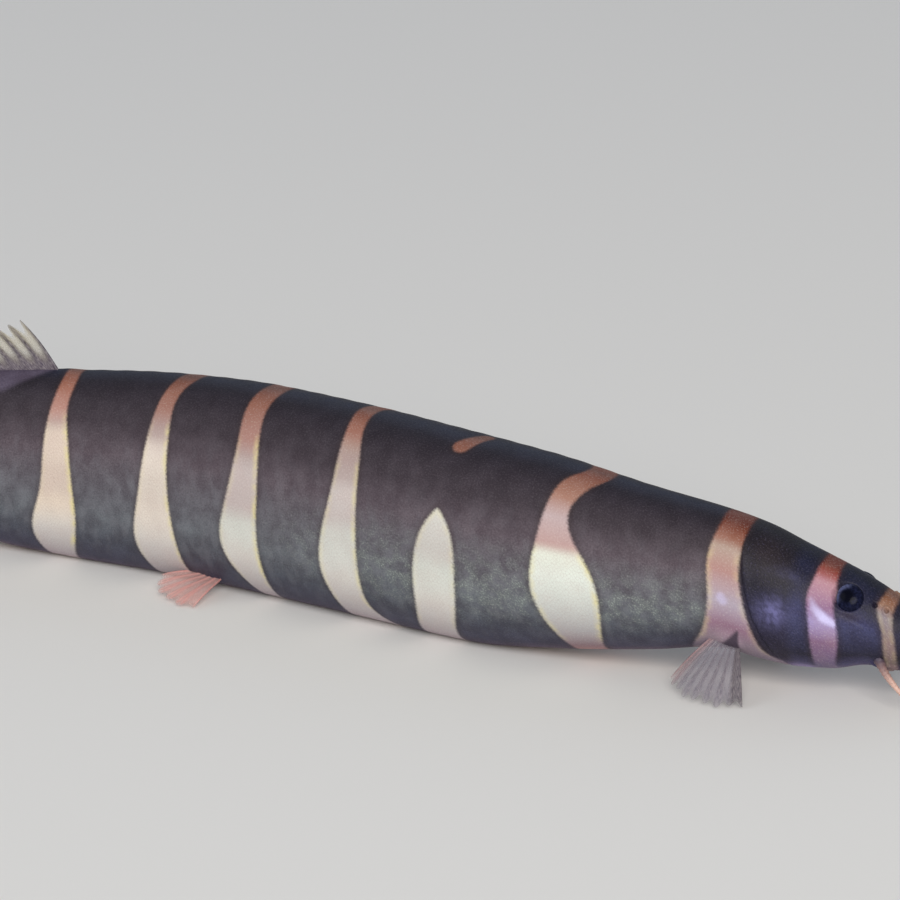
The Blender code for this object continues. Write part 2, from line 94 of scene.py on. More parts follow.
SOCKET_RIM = {"radius": 0.9, "width": 0.12, "rise": 0.02}
SUBORBITAL = {"stations": (3.1, 4.9), "angles": (10, 21), "depth": 0.05, "width": 0.09, "samples": 25}

# Camera and light
CAMERA = {"target": (9.745, -0.855, 10.296), "distance": 300, "azimuth": 27, "elevation": 18, "lens": 218.4}
CAMERA_CLIP = (0.01, 10)
LIGHT_AIM = (0, 0, 6)
LIGHTS = {
    "key": {"from": (34, 30), "distance": 840, "size": 560, "power": 6.0, "colour": (255, 251, 246)},
    "fill": {"from": (-40, 34), "distance": 900, "size": 680, "power": 1.4, "colour": (244, 248, 255)},
    "rim": {"from": (200, 40), "distance": 840, "size": 600, "power": 0.48, "colour": (214, 228, 255)},
}
WORLD_COLOUR, WORLD_STRENGTH = (236, 240, 246), 0.34
FLOOR_SIZE = 6
FLOOR_COLOUR, FLOOR_ROUGHNESS = (230, 229, 226), 0.85


def smooth(table, x):
    """The value at x of a smooth curve through the table's points that never overshoots them."""
    knots, values = np.array(table, float).T
    step = np.diff(knots)
    slope = np.diff(values) / step
    tangent = np.concatenate([slope[:1], np.zeros(len(knots) - 2), slope[-1:]])
    for i in range(1, len(knots) - 1):
        if slope[i - 1] * slope[i] > 0:
            before, after = 2 * step[i] + step[i - 1], step[i] + 2 * step[i - 1]
            tangent[i] = (before + after) / (before / slope[i - 1] + after / slope[i])
    x = np.clip(x, knots[0], knots[-1])
    i = np.clip(np.searchsorted(knots, x) - 1, 0, len(step) - 1)
    t = (x - knots[i]) / step[i]
    start = (2 * t**3 - 3 * t**2 + 1) * values[i] + (t**3 - 2 * t**2 + t) * step[i] * tangent[i]
    end = (3 * t**2 - 2 * t**3) * values[i + 1] + (t**3 - t**2) * step[i] * tangent[i + 1]
    return start + end


def bump(value, centre, spread):
    return np.exp(-(((value - centre) / spread) ** 2))


def dome(distance, radius):
    """1 in the middle and 0 from the radius on, round in between."""
    return np.clip(1 - (distance / radius) ** 2, 0, 1) ** 1.5


def ease(value, start, end):
    """0 before start, 1 past end, and a smooth step between them, whichever is the greater."""
    t = np.clip((value - start) / (end - start), 0, 1)
    return t * t * (3 - 2 * t)


def stretch(station, ends, fades):
    """1 along a stretch of the body and 0 outside its ends, with a fade inside each end."""
    return ease(station, ends[0], ends[0] + fades[0]) * ease(station, ends[1], ends[1] - fades[1])


def between(pair, t):
    return pair[0] + (pair[1] - pair[0]) * t


def unit(vectors):
    return vectors / np.linalg.norm(vectors, axis=-1, keepdims=True)


def distance_to(points, centre):
    return np.linalg.norm(points - centre, axis=-1)


def near_curve(points, curve):
    """Distance from each point to a curve, and how far along it the nearest place is, from 0 to 1."""
    far = distance_to(points[..., None, :], curve)
    nearest = far.argmin(axis=-1)
    return far.min(axis=-1), nearest / (len(curve) - 1)


def segment_distance(points, start, end):
    """Distance from each point to a straight line between two points, and the place along it, 0 to 1."""
    along = end - start
    t = np.clip(((points - start) @ along) / (along @ along), 0, 1)
    return distance_to(points, start + t[..., None] * along), t


def centre_line():
    """Stations along the body with the x and y of each, from the heading, and the origin's station at 0."""
    stations = np.linspace(0, LINE_END, LINE_SAMPLES)
    heading = np.radians(smooth(HEADING, stations))
    step = stations[1] - stations[0]
    x = -np.concatenate([[0], np.cumsum((np.cos(heading[1:]) + np.cos(heading[:-1])) / 2 * step)])
    y = -np.concatenate([[0], np.cumsum((np.sin(heading[1:]) + np.sin(heading[:-1])) / 2 * step)])
    x -= np.interp(ORIGIN_STATION, stations, x)
    y -= np.interp(ORIGIN_STATION, stations, y)
    return stations, x, y


LINE = centre_line()


def place(station, out, height):
    """A point at a station, so far out to the right of the centre line, and so high over the floor."""
    heading = np.radians(smooth(HEADING, station))
    x = np.interp(station, LINE[0], LINE[1]) + out * np.sin(heading)
    y = np.interp(station, LINE[0], LINE[2]) - out * np.cos(heading)
    return np.stack(np.broadcast_arrays(x, y, height), axis=-1)


def level(angle):
    """The angle above the horizontal, alike on both flanks."""
    return np.degrees(np.arcsin(np.clip(np.sin(np.radians(angle)), -1, 1)))


def on_side(angle, side):
    """The same place on the right flank, side 1, or on the left one, side -1."""
    return angle if side > 0 else 180 - angle


def gill_edge(angle):
    """Station of the gill covers' rear edge at an angle round the body."""
    return GILL_EDGE_TOP - GILL_EDGE_SWEEP * ((1 - np.sin(np.radians(angle))) / 2) ** 2


def head_relief(station, angle):
    """How far the cheeks and gill covers stand out from the plain section."""
    swell = 0
    for form in (GILL_COVER, CHEEK):
        round_body = bump(level(angle), form["angle"], form["half_angle"])
        swell = swell + form["rise"] * bump(station, form["station"], form["length"]) * round_body
    return swell


def section_point(station, angle, out=0.0):
    """How far out to the right, and how high, a point of the surface lies, or one so far out from it."""
    low, high = smooth(BELLY, station), smooth(BACK, station)
    half_height = (high - low) / 2
    half_width = half_height * smooth(WIDTH_RATIO, station)
    c, s = np.cos(np.radians(angle)), np.sin(np.radians(angle))
    side = np.sign(c) * np.abs(c) ** (2 / SECTION_FULLNESS)
    rise = np.sign(s) * np.abs(s) ** (2 / SECTION_FULLNESS)
    lift = out + head_relief(station, angle)
    slant = np.hypot(c * half_height, s * half_width)
    across = half_width * side + lift * c * half_height / slant
    height = (low + high) / 2 + half_height * rise + lift * s * half_width / slant
    return across, np.maximum(height, 0)


def body_point(station, angle, out=0.0):
    """A point on the body's surface, or so far out from it across the section."""
    return place(station, *section_point(station, angle, out))


def outward(station, angle):
    """The direction straight out from the body at a point of its surface."""
    return unit(body_point(station, angle, 1.0) - body_point(station, angle))


def eye_place(side):
    """Centre of an eye and the direction it looks in."""
    angle = on_side(EYE_ANGLE, side)
    return body_point(EYE_STATION, angle, -EYE_SUNK), outward(EYE_STATION, angle)


def linear(colour):
    """A colour as it looks on a screen, 0 to 255, as the light that a shader takes."""
    c = np.array(colour, float) / 255
    return np.where(c <= 0.04045, c / 12.92, ((c + 0.055) / 1.055) ** 2.4)


def tones(stops, x):
    """Colours at x from a list of places and the colour at each."""
    at = [stop[0] for stop in stops]
    shades = linear([stop[1] for stop in stops])
    return np.stack([np.interp(x, at, shades[:, k]) for k in range(3)], axis=-1)


def blend(under, over, share):
    """Colours with a share of another colour laid over them."""
    return under + (np.asarray(over) - under) * np.asarray(share)[..., None]


# Skin: rows are closer on the head, columns are evenly spaced in angle from the belly round
ROW_SPACING = ((0, 0.012), (0.4, 0.04), (5, 0.05), (10.8, 0.055), (16, 0.21), (SKIN_END, 0.21))
SKIN_COLUMNS = 168
FACE_END = 7
GILL_RIM = {"rise": 0.05, "width": 0.4, "drop": 0.09, "groove": 0.22, "top": 66, "bottom": -72, "fade": 14}
GILL_RIM_STEP, GILL_RIM_FOOT = 0.06, 0.04
PADS = {
    "pectoral": {"station": 10.4, "angle": -45, "radius": 1.05, "rise": 0.22},
    "pelvic": {"station": 42.6, "angle": -57, "radius": 0.84, "rise": 0.12},
}
RIDGES = {
    "dorsal": {"stations": (52.0, 61.8), "angle": 90, "half_angle": 9, "rise": 0.14},
    "anal": {"stations": (61.3, 69.4), "angle": -90, "half_angle": 10, "rise": 0.2},
}
RIDGE_FADES = (1.6, 1.6)
SIDE_LINE = {"stations": (11, 80), "fades": (3, 6), "angle": 4, "half_angle": 2.2, "depth": 0.018}
MUSCLE = {"stations": (13, 80), "fades": (5, 5), "spacing": 1.55, "depth": 0.010, "lean": 0.035}
MUSCLE_BEND, MUSCLE_FOOT = 22, (-60, -35)


def skin_rows():
    """Stations of the skin's rows, with the spacing that ROW_SPACING gives along the body."""
    rows = [0.0]
    spots, gaps = zip(*ROW_SPACING)
    while rows[-1] < SKIN_END:
        rows.append(rows[-1] + float(np.interp(rows[-1], spots, gaps)))
    return np.array(rows) * SKIN_END / rows[-1]


def lip_curve(spec):
    """Points of the mouth's crescent or of a lip beside it, from the left corner to the right one."""
    turn = np.linspace(-spec["half_angle"], spec["half_angle"], LIP_SAMPLES)
    station = MOUTH["station"] + spec["behind"] + MOUTH["sweep"] * (turn / MOUTH["half_angle"]) ** 2
    return body_point(station, BELOW + turn)


def mouth_relief(points):
    """Lips, chin lobes and the line of the mouth on the points of the snout."""
    lift = np.zeros(points.shape[:-1])
    for lip in (UPPER_LIP, LOWER_LIP):
        distance, along = near_curve(points, lip_curve(lip))
        turn = (2 * along - 1) * lip["half_angle"]
        corner = 1 - LIP_CORNER_FADE * (turn / lip["half_angle"]) ** 2
        notch = 1 - bump(turn, 0, lip["notch"]) if "notch" in lip else 1
        folds = 1 - LIP_FOLD_DEPTH / lip["rise"] * np.cos(along * LIP_FOLDS * 2 * np.pi)
        swell = dome(distance, lip["radius"] * corner)
        lift = np.maximum(lift, lip["rise"] * corner * notch * folds * swell)
    for side in SIDES.values():
        centre = body_point(CHIN_LOBE["station"], BELOW + side * CHIN_LOBE["angle"])
        lobe = CHIN_LOBE["rise"] * dome(distance_to(points, centre), CHIN_LOBE["radius"])
        lift = np.maximum(lift, lobe)
    distance, along = near_curve(points, lip_curve(MOUTH))
    return lift - (MOUTH_DEPTH + lift * MOUTH_LIP_CUT) * bump(distance, 0, MOUTH_WIDTH)


def face_relief(points):
    """Mouth, nostrils, eye sockets and the small groove under each eye."""
    lift = mouth_relief(points)
    for side in SIDES.values():
        for nostril in NOSTRILS.values():
            distance = distance_to(points, body_point(nostril["station"], on_side(NOSTRIL_ANGLE, side)))
            lift += nostril["rise"] * bump(distance, NOSTRIL_RING, NOSTRIL_RING_WIDTH)
            lift -= NOSTRIL_DEPTH * dome(distance, NOSTRIL_PIT)
        centre, way = eye_place(side)
        offset = points - centre
        depth = offset @ way
        around = distance_to(offset, depth[..., None] * way)
        around = np.where(depth < -SOCKET["behind"], np.inf, around)
        lift += SOCKET_RIM["rise"] * bump(around, SOCKET_RIM["radius"], SOCKET_RIM["width"])
        lift -= SOCKET["dip"] * ease(around, SOCKET["edge"], SOCKET["floor"])
        t = np.linspace(0, 1, SUBORBITAL["samples"])
        angles = between(SUBORBITAL["angles"], t)
        groove = body_point(between(SUBORBITAL["stations"], t), on_side(angles, side))
        lift -= SUBORBITAL["depth"] * bump(near_curve(points, groove)[0], 0, SUBORBITAL["width"])
    return lift


def body_relief(points, station, angle):
    """Gill cover rims, the pads and ridges that carry the fins, the side line and the rings of muscle."""
    height = level(angle)
    behind = station - gill_edge(angle)
    rim = ease(height, GILL_RIM["top"], GILL_RIM["top"] - GILL_RIM["fade"])
    rim = rim * ease(height, GILL_RIM["bottom"], GILL_RIM["bottom"] + GILL_RIM["fade"])
    cover = np.where(behind < 0, GILL_RIM["rise"] * bump(behind, 0, GILL_RIM["width"]), 0)
    cover = cover * ease(behind, GILL_RIM_STEP / 2, -GILL_RIM_STEP / 2)
    down, up = ease(behind, -GILL_RIM_STEP, GILL_RIM_FOOT), bump(behind, GILL_RIM_STEP, GILL_RIM["groove"])
    lift = rim * (cover - GILL_RIM["drop"] * np.where(behind < GILL_RIM_STEP, down, up))
    for pad in PADS.values():
        for side in SIDES.values():
            centre = body_point(pad["station"], on_side(pad["angle"], side))
            lift = lift + pad["rise"] * dome(distance_to(points, centre), pad["radius"])
    for ridge in RIDGES.values():
        along = stretch(station, ridge["stations"], RIDGE_FADES)
        lift = lift + ridge["rise"] * along * bump(height, ridge["angle"], ridge["half_angle"])
    along = stretch(station, SIDE_LINE["stations"], SIDE_LINE["fades"])
    lift = lift - SIDE_LINE["depth"] * along * bump(height, SIDE_LINE["angle"], SIDE_LINE["half_angle"])
    along = stretch(station, MUSCLE["stations"], MUSCLE["fades"]) * ease(height, *MUSCLE_FOOT)
    chevron = station - MUSCLE["lean"] * np.abs(np.abs(height) - MUSCLE_BEND)
    return lift + MUSCLE["depth"] * along * np.cos(chevron / MUSCLE["spacing"] * 2 * np.pi)


# Bars: stations of the rear and front edge of each, by height from the belly up to the back. On the trunk a
# bar is pale, turns pink by the shares in pink, and is orange above turn, by brighter times the common
# orange. The bars of the shoulder and head name their own tones. left is how far back the left flank's bar
# is shifted, and yellow how strong the yellow line is along the front and the rear edge, up to yellow_top
BARS = (
    {
        "rear": ((-65, 54.2), (-34, 54.7), (-24, 54.5), (-1, 53.7), (22, 53.6), (60, 53.3)),
        "front": (
            (-63, 52.4), (-40, 51.9), (-16, 51.5), (1, 51.7), (24, 52.0), (48, 52.4), (68, 52.3), (87, 52.5),
        ),
        "pale": (226, 210, 192), "pink": ((-12, 0), (-4, 0.25), (28, 0.25), (36, 0.8)), "turn": 40,
        "brighter": 1.25, "left": 0.7, "yellow": (1.0, 0.15),
    },
    {
        "rear": ((-57, 46.9), (-27, 47.5), (-4, 46.9), (22, 46.5), (59, 46.2), (89, 46.0)),
        "front": ((-60, 44.1), (-42, 44.3), (-13, 44.5), (8, 44.8), (31, 44.9), (55, 45.2), (89, 44.7)),
        "pale": (224, 213, 201), "pink": ((18, 0), (26, 0.3), (32, 0.85), (40, 0.95)), "turn": 45,
        "left": -0.6, "yellow": (0.75, 0.2),
    },
    {
        "rear": ((-59, 39.5), (-42, 40.2), (-17, 41.1), (9, 40.3), (33, 40.0), (61, 40.3), (92, 40.3)),
        "front": ((-57, 38.3), (-14, 38.4), (12, 38.3), (29, 38.5), (62, 39.0), (93, 38.9)),
        "pale": (212, 214, 206), "pink": ((-6, 0), (2, 0.7), (20, 0.7), (30, 0.9)), "turn": 34,
        "left": 0.8, "yellow": (0.9, 0.25),
    },
    {
        "rear": ((-55, 33.4), (-14, 34.1), (5, 33.6), (27, 33.2), (50, 33.3), (92, 33.9)),
        "front": ((-63, 30.2), (-54, 31.0), (-40, 31.4), (8, 31.5), (40, 31.8), (66, 32.5), (96, 32.8)),
        "pale": (213, 214, 207), "pink": ((0, 0), (8, 0.55), (22, 0.55), (30, 0.9)), "turn": 54,
        "brighter": 1.12, "left": -0.7, "yellow": (0.6, 0.35),
    },
    {
        "rear": ((-58, 28.4), (-29, 27.9), (-2, 27.8), (16, 27.2), (27, 26.5), (40, 25)),
        "front": ((-52, 26.0), (-23, 25.4), (-2, 25.3), (20, 25.8), (27, 26.5), (40, 28)),
        "pale": (213, 216, 208), "pink": ((-6, 0), (2, 0.3), (16, 0.3), (22, 0.1)), "turn": 60,
        "left": 0.9, "yellow": (0.3, 0.3),
    },
    {
        "rear": (
            (-59, 19.3), (-30, 20.3), (-19, 20.7), (-1, 21.1), (7, 20.9), (31, 20.6), (56, 20.3), (80, 19.5),
            (91, 18.7),
        ),
        "front": (
            (-59, 17.5), (-18, 17.2), (-1, 17.4), (15, 18.3), (23, 18.8), (36, 19.3), (55, 19.0), (65, 18.5),
            (78, 18.0), (91, 17.5),
        ),
        "tones": "shoulder", "left": -0.5, "yellow": (0.9, 0.5), "yellow_top": 20,
    },
    {
        "rear": ((-57, 12.6), (-40, 11.9), (-2, 11.3), (28, 11.5), (42, 11.4), (77, 11.15), (90, 11.3)),
        "front": (
            (-60, 6.9), (-52, 7.8), (-44, 8.4), (-31, 8.7), (-17, 9.0), (0, 9.4), (27, 9.8), (42, 9.8),
            (74, 9.7),
        ),
        "tones": "gill", "left": 0.15, "yellow": (0.25, 0.4),
    },
    {
        "rear": ((-35, 5.7), (4, 5.9), (26, 6.1), (41, 5.9), (93, 5.6)),
        "front": ((-40, 4.6), (-22, 4.4), (-3, 4.4), (21, 4.7), (90, 4.7)),
        "tones": "cheek", "left": 0.1, "yellow": (0, 0),
    },
    {
        "rear": ((-24, 2.0), (11, 2.1), (38, 2.5), (51, 2.5), (69, 2.3)),
        "front": ((-10, 1.4), (6, 1.5), (48, 1.7), (75, 1.6)),
        "tones": "snout", "left": 0.05, "yellow": (0.2, 0.2),
    },
)
TAIL_BAR = {
    "rear": ((-65, 0.9), (-26, 1.2), (22, 0.75), (82, 0.4)),
    "front": ((-63, -0.8), (-16, -1.15), (24, -0.6), (87, -0.3)),
    "pale": (222, 210, 198), "pink": ((20, 0), (28, 0.4), (36, 0.8)), "turn": 48, "yellow": (0.7, 0.3),
}
TAIL_BARS = (
    {"station": 60.2, "left": 0.5, "size": 1.0},
    {"station": 66.6, "left": -0.6, "size": 0.95},
    {"station": 72.6, "left": 0.4, "size": 0.85},
    {"station": 77.8, "left": -0.3, "size": 0.7},
)
EDGE_SOFTENING = (-10, -5, 0, 5, 10)
LEFT_SHIFT_FADE = (88, 40)
TURN_BLUR = (-10, 8)
PALE_ABOVE = (-34, -8)
# Painted shade: the bars' pale is darkened a little round the middle of the flank, where the light falls most
# fully
PALE_SHADE_DIP = {"height": 2, "half_height": 11, "share": 0.11}
YELLOW_TOP, YELLOW_FADE, YELLOW_FOOT = 46, 12, (-56, -40)
OUTSIDE = -9.0

# Tones by height, from the belly (-90) up to the back (90). The darker stretch that most tables have low on
# the flank, just above the pale belly, is painted shade where the flank turns down from the light, and the
# blue of the top stops in the ground, head and face tones is painted sheen over the back's own dark colour
ORANGE = (
    (30, (172, 132, 124)), (50, (154, 112, 100)), (65, (140, 92, 76)), (78, (120, 72, 56)),
    (90, (100, 66, 56)),
)
PINK = ((20, (182, 162, 162)), (30, (168, 150, 147)), (40, (158, 134, 131)), (52, (158, 130, 118)))
PALE_BELOW = ((-90, (210, 184, 176)), (-66, (176, 164, 172)), (-46, (190, 184, 184)), (-24, (214, 210, 204)))
BAR_TONES = {
    "shoulder": (
        (-90, (196, 154, 150)), (-66, (164, 124, 128)), (-58, (140, 114, 124)), (-40, (170, 167, 170)),
        (0, (220, 226, 217)), (12, (222, 226, 213)), (18, (184, 152, 148)), (36, (184, 164, 165)),
        (51, (160, 118, 102)), (80, (116, 66, 50)), (90, (100, 64, 54)),
    ),
    "gill": (
        (-90, (190, 164, 158)), (-60, (124, 112, 132)), (-40, (146, 128, 142)), (-22, (146, 112, 132)),
        (-2, (172, 160, 174)), (22, (170, 130, 124)), (42, (170, 148, 136)), (52, (144, 98, 82)),
        (64, (115, 57, 37)), (78, (92, 40, 26)),
    ),
    "cheek": (
        (-90, (130, 112, 138)), (-52, (106, 94, 126)), (-14, (126, 96, 124)), (4, (158, 142, 186)),
        (18, (136, 102, 136)), (48, (178, 132, 144)), (58, (154, 88, 87)), (68, (129, 58, 46)),
        (78, (98, 42, 31)),
    ),
    "snout": (
        (-90, (140, 116, 112)), (-40, (108, 90, 96)), (0, (122, 102, 104)), (36, (128, 118, 126)),
        (52, (146, 110, 90)), (70, (128, 84, 60)), (90, (100, 66, 52)),
    ),
}
GROUND_TONES = (
    (-90, (206, 176, 166)), (-80, (182, 156, 156)), (-73, (104, 86, 108)), (-58, (68, 66, 90)),
    (-36, (77, 81, 93)), (-18, (107, 112, 118)), (18, (100, 90, 97)), (38, (65, 56, 63)), (74, (36, 32, 42)),
    (90, (29, 34, 53)),
)
HEAD_TONES = (
    (-90, (176, 146, 140)), (-78, (140, 118, 140)), (-58, (68, 58, 88)), (-38, (42, 37, 53)),
    (2, (46, 45, 70)), (18, (29, 28, 44)), (56, (27, 24, 37)), (90, (13, 15, 25)),
)
FACE_TONES = (
    (-90, (176, 146, 140)), (-78, (140, 122, 150)), (-54, (80, 76, 118)), (-32, (38, 37, 57)),
    (0, (60, 62, 95)), (10, (62, 64, 102)), (32, (21, 21, 50)), (60, (27, 30, 56)), (90, (15, 21, 39)),
)
HEAD_START, FACE_START = (10.4, 9.6), (7.3, 6.5)

# Washes of colour over the ground. A pair in along or up is where the wash begins and where it is full, and
# spot or band is the middle and the spread of a soft patch along the body or round it
NAPE = {"colour": (42, 33, 37), "share": 0.8, "spot": (8.4, 1.1), "band": (52, 24)}
WASHES = {
    # Painted light: a pale lavender band low along the throat, where light bounced up from below falls
    "throat_bounce_light": {"colour": (186, 172, 220), "share": 0.92, "along": ((4.2, 5.2), (8.2, 6.6)), "band": (-63, 9)},
    "snout": {"colour": (27, 28, 44), "share": 0.72, "along": ((3.2, 0.8),), "up": (-70, -50)},
    "snout_tip": {"colour": (30, 30, 46), "share": 0.92, "along": ((1.0, 0.35),)},
    "under_eye": {"colour": (66, 56, 60), "share": 0.5, "spot": (3.9, 0.7), "band": (17, 6)},
    "tail_root": {"colour": (44, 38, 46), "share": 0.8, "along": ((79.0, 80.6),), "up": (-88, -60)},
}
DORSAL_PATCH = {"colour": (100, 91, 110), "share": 0.9, "blur": (-3, 8)}
DORSAL_PATCH_FOOT = ((53.6, 95), (55.0, 78), (56.8, 58), (58.4, 52), (60.2, 60), (62.6, 98))
TAIL_FIN_EDGE = {"colour": (92, 84, 90), "share": 0.7, "station": 84.3, "scoop": 0.5, "length": 1.1}

# Small marks: the short orange spot on the back, the dark spot at a pectoral fin's root, the blue patch of a
# gill cover with part of a ring round it, and painted highlights, soft bright lines across the cheek and gill
# bars
BACK_SPOT = {"from": (26.4, 73), "to": (25.7, 93), "radius": (0.48, 0.40)}
FIN_SPOT = {"from": (9.75, -26), "to": (10.3, -50), "radius": (0.04, 0.56), "blur": (0.12, -0.08)}
GILL_PATCH = {"station": 7.75, "angle": 3, "radius": 0.74}
GILL_RING = {"radius": 2.2, "width": 0.26, "station": 7.2, "length": 0.9, "up": (16, 28), "share": 0.17}
# Painted highlights: the curve, width and strength of each, one across the cheek bar and one on the gill bar
PAINTED_HIGHLIGHTS = (
    {
        "stations": (5.85, 5.65, 5.15, 4.6), "angles": (25, 17, 9.5, 5.5), "radius": (0.10, 0.19, 0.24, 0.16),
        "share": (0.25, 0.6, 1, 0.9),
    },
    {"stations": (10.62, 10.5), "angles": (0.5, -1.5), "radius": (0.24, 0.24), "share": (0.42, 0.42)},
)
HIGHLIGHT_SAMPLES, HIGHLIGHT_REACH, HIGHLIGHTS_END = 41, 1.5, 13

# Silver haze along the flank by height, the greenish grain in it, and the net of scales on the bars
SILVER_BAND = ((-62, 0.02), (-44, 0.4), (-16, 1.0), (2, 0.75), (22, 0.3), (42, 0.08), (70, 0.02))
SILVER_STRETCH = ((9, 84), (4, 14))
GRAIN_END, GRAIN_BAND = (40, 30), (-12, 20)
NET_UP, NET_ALONG = (52, 30), (10, 14)


def soft_edge(bar, edge, angle):
    """Station of a bar's front or rear edge at an angle round the body, its corners rounded off."""
    total = 0
    for turn in EDGE_SOFTENING:
        height = level(angle + turn)
        leftness = np.where(np.cos(np.radians(angle + turn)) < 0, ease(height, *LEFT_SHIFT_FADE), 0)
        total = total + smooth(bar[edge], height) + bar["left"] * leftness
    return total / len(EDGE_SOFTENING)


def all_bars():
    """The bars that the photograph shows and those of the tail behind them."""
    made = list(BARS)
    for spec in TAIL_BARS:
        edges = {
            edge: [(height, spec["station"] + spec["size"] * s) for height, s in TAIL_BAR[edge]]
            for edge in ("rear", "front")
        }
        made.append({**TAIL_BAR, **edges, "left": spec["left"]})
    return made


def bar_shade(bar, height):
    """Colour of a bar at a height on the flank."""
    if "tones" in bar:
        return tones(BAR_TONES[bar["tones"]], height)
    pale = blend(tones(PALE_BELOW, height), linear(bar["pale"]), ease(height, *PALE_ABOVE))
    # painted shade round the middle of the flank
    dip = PALE_SHADE_DIP["share"] * bump(height, PALE_SHADE_DIP["height"], PALE_SHADE_DIP["half_height"])
    pale = pale * (1 - dip)[..., None]
    pink = blend(pale, tones(PINK, height), np.interp(height, *zip(*bar["pink"])))
    orange = tones(ORANGE, height) * bar.get("brighter", 1)
    return blend(pink, orange, ease(height, bar["turn"] + TURN_BLUR[0], bar["turn"] + TURN_BLUR[1]))


def markings(station, angle):
    """Millimetres inside the nearest bar (less than 0 outside), its colour and the yellow of its edge."""
    height = level(angle)
    inside = np.full(station.shape, OUTSIDE)
    yellow = np.zeros(station.shape)
    colour = np.zeros((*station.shape, 3))
    for bar in all_bars():
        from_front = station - soft_edge(bar, "front", angle)
        from_rear = soft_edge(bar, "rear", angle) - station
        depth = np.minimum(from_front, from_rear)
        nearer = depth > inside
        top = bar.get("yellow_top", YELLOW_TOP)
        edging = np.where(from_front < from_rear, *bar["yellow"]) * ease(height, top, top - YELLOW_FADE)
        colour = np.where(nearer[..., None], bar_shade(bar, height), colour)
        yellow = np.where(nearer, edging, yellow)
        inside = np.maximum(inside, depth)
    return inside, colour, yellow * ease(height, *YELLOW_FOOT)


def across_surface(depth, station, arc):
    """A distance along the body turned into one across the surface, where the edge runs aslant."""
    steep_s, steep_a = np.gradient(depth)
    run_s = np.maximum(np.gradient(station, axis=0), 1e-6)
    run_a = np.maximum(np.gradient(arc, axis=1), 1e-6)
    return depth / np.maximum(np.hypot(steep_s / run_s, steep_a / run_a), 1)


def washed(ground, wash, station, height):
    """The ground with one wash of colour laid over it."""
    share = wash["share"] * np.ones(station.shape)
    for begins, full in wash.get("along", ()):
        share = share * ease(station, begins, full)
    if "spot" in wash:
        share = share * bump(station, *wash["spot"])
    if "up" in wash:
        share = share * ease(height, *wash["up"])
    if "band" in wash:
        share = share * bump(height, *wash["band"])
    return blend(ground, linear(wash["colour"]), share)


def ground_colour(station, angle):
    """Colour of the ground between the bars, by height, with its washes."""
    height = level(angle)
    ground = blend(tones(GROUND_TONES, height), tones(HEAD_TONES, height), ease(station, *HEAD_START))
    ground = washed(ground, NAPE, station, height)
    ground = blend(ground, tones(FACE_TONES, height), ease(station, *FACE_START))
    for wash in WASHES.values():
        ground = washed(ground, wash, station, height)
    foot = np.interp(station, *zip(*DORSAL_PATCH_FOOT))
    share = DORSAL_PATCH["share"] * ease(height, *(foot + blur for blur in DORSAL_PATCH["blur"]))
    ground = blend(ground, linear(DORSAL_PATCH["colour"]), share)
    edge = TAIL_FIN_EDGE["station"] - TAIL_FIN_EDGE["scoop"] * np.abs(np.sin(np.radians(angle))) ** 3
    share = TAIL_FIN_EDGE["share"] * ease(station, edge - TAIL_FIN_EDGE["length"], edge)
    return blend(ground, linear(TAIL_FIN_EDGE["colour"]), share)


def small_marks(points, station, height):
    """Fin spots, the blue of the gill covers, and millimetres inside a painted highlight with the highlight's
    strength.
    """
    fin_spot, gill_blue, highlight_share = (np.zeros(station.shape) for _ in range(3))
    painted_highlight = np.full(station.shape, OUTSIDE)
    near = station < HIGHLIGHTS_END
    for side in SIDES.values():
        start, end = (body_point(s, on_side(a, side)) for s, a in (FIN_SPOT["from"], FIN_SPOT["to"]))
        far, along = segment_distance(points, start, end)
        fin_spot = np.maximum(fin_spot, ease(far - between(FIN_SPOT["radius"], along), *FIN_SPOT["blur"]))
        far = distance_to(points, body_point(GILL_PATCH["station"], on_side(GILL_PATCH["angle"], side)))
        ring = GILL_RING["share"] * bump(far, GILL_RING["radius"], GILL_RING["width"])
        ring = ring * ease(height, *GILL_RING["up"])
        ring = ring * bump(station, GILL_RING["station"], GILL_RING["length"])
        gill_blue = np.maximum(gill_blue, np.maximum(bump(far, 0, GILL_PATCH["radius"]), ring))
        for spec in PAINTED_HIGHLIGHTS:
            knots = np.linspace(0, 1, len(spec["stations"]))
            t = np.linspace(0, 1, HIGHLIGHT_SAMPLES)
            stations, angles = np.interp(t, knots, spec["stations"]), np.interp(t, knots, spec["angles"])
            far, along = near_curve(points[near], body_point(stations, on_side(angles, side)))
            painted_highlight[near] = np.maximum(painted_highlight[near], np.interp(along, knots, spec["radius"]) - far)
            share = np.interp(along, knots, spec["share"]) * (far < HIGHLIGHT_REACH)
            highlight_share[near] = np.maximum(highlight_share[near], share)
    return {"fin_spot": fin_spot, "gill_blue": gill_blue, "painted_highlight": painted_highlight, "highlight_share": highlight_share}


def skin_looks(points, station, angle, arc):
    """The skin's attributes: how far inside a bar, colours of bar and ground, specks and small marks."""
    height = level(angle)
    inside, bar_colour, yellow = markings(station, angle)
    far, along = segment_distance(points, body_point(*BACK_SPOT["from"]), body_point(*BACK_SPOT["to"]))
    spot = between(BACK_SPOT["radius"], along) - far
    bar_colour = np.where((spot > inside)[..., None], tones(ORANGE, height), bar_colour)
    silver = smooth(SILVER_BAND, height) * stretch(station, *SILVER_STRETCH)
    return {
        "bar": np.maximum(across_surface(inside, station, arc), spot),
        "bar_colour": bar_colour,
        "ground": ground_colour(station, angle),
        "silver": silver,
        "grainy": silver * ease(station, *GRAIN_END) * bump(height, *GRAIN_BAND),
        "netted": ease(height, *NET_UP) * ease(station, *NET_ALONG),
        "headness": ease(station, *HEAD_START),
        "yellow": yellow,
        "skin_mm": np.stack([station, arc, np.zeros_like(arc)], axis=-1),
        **small_marks(points, station, height),
    }


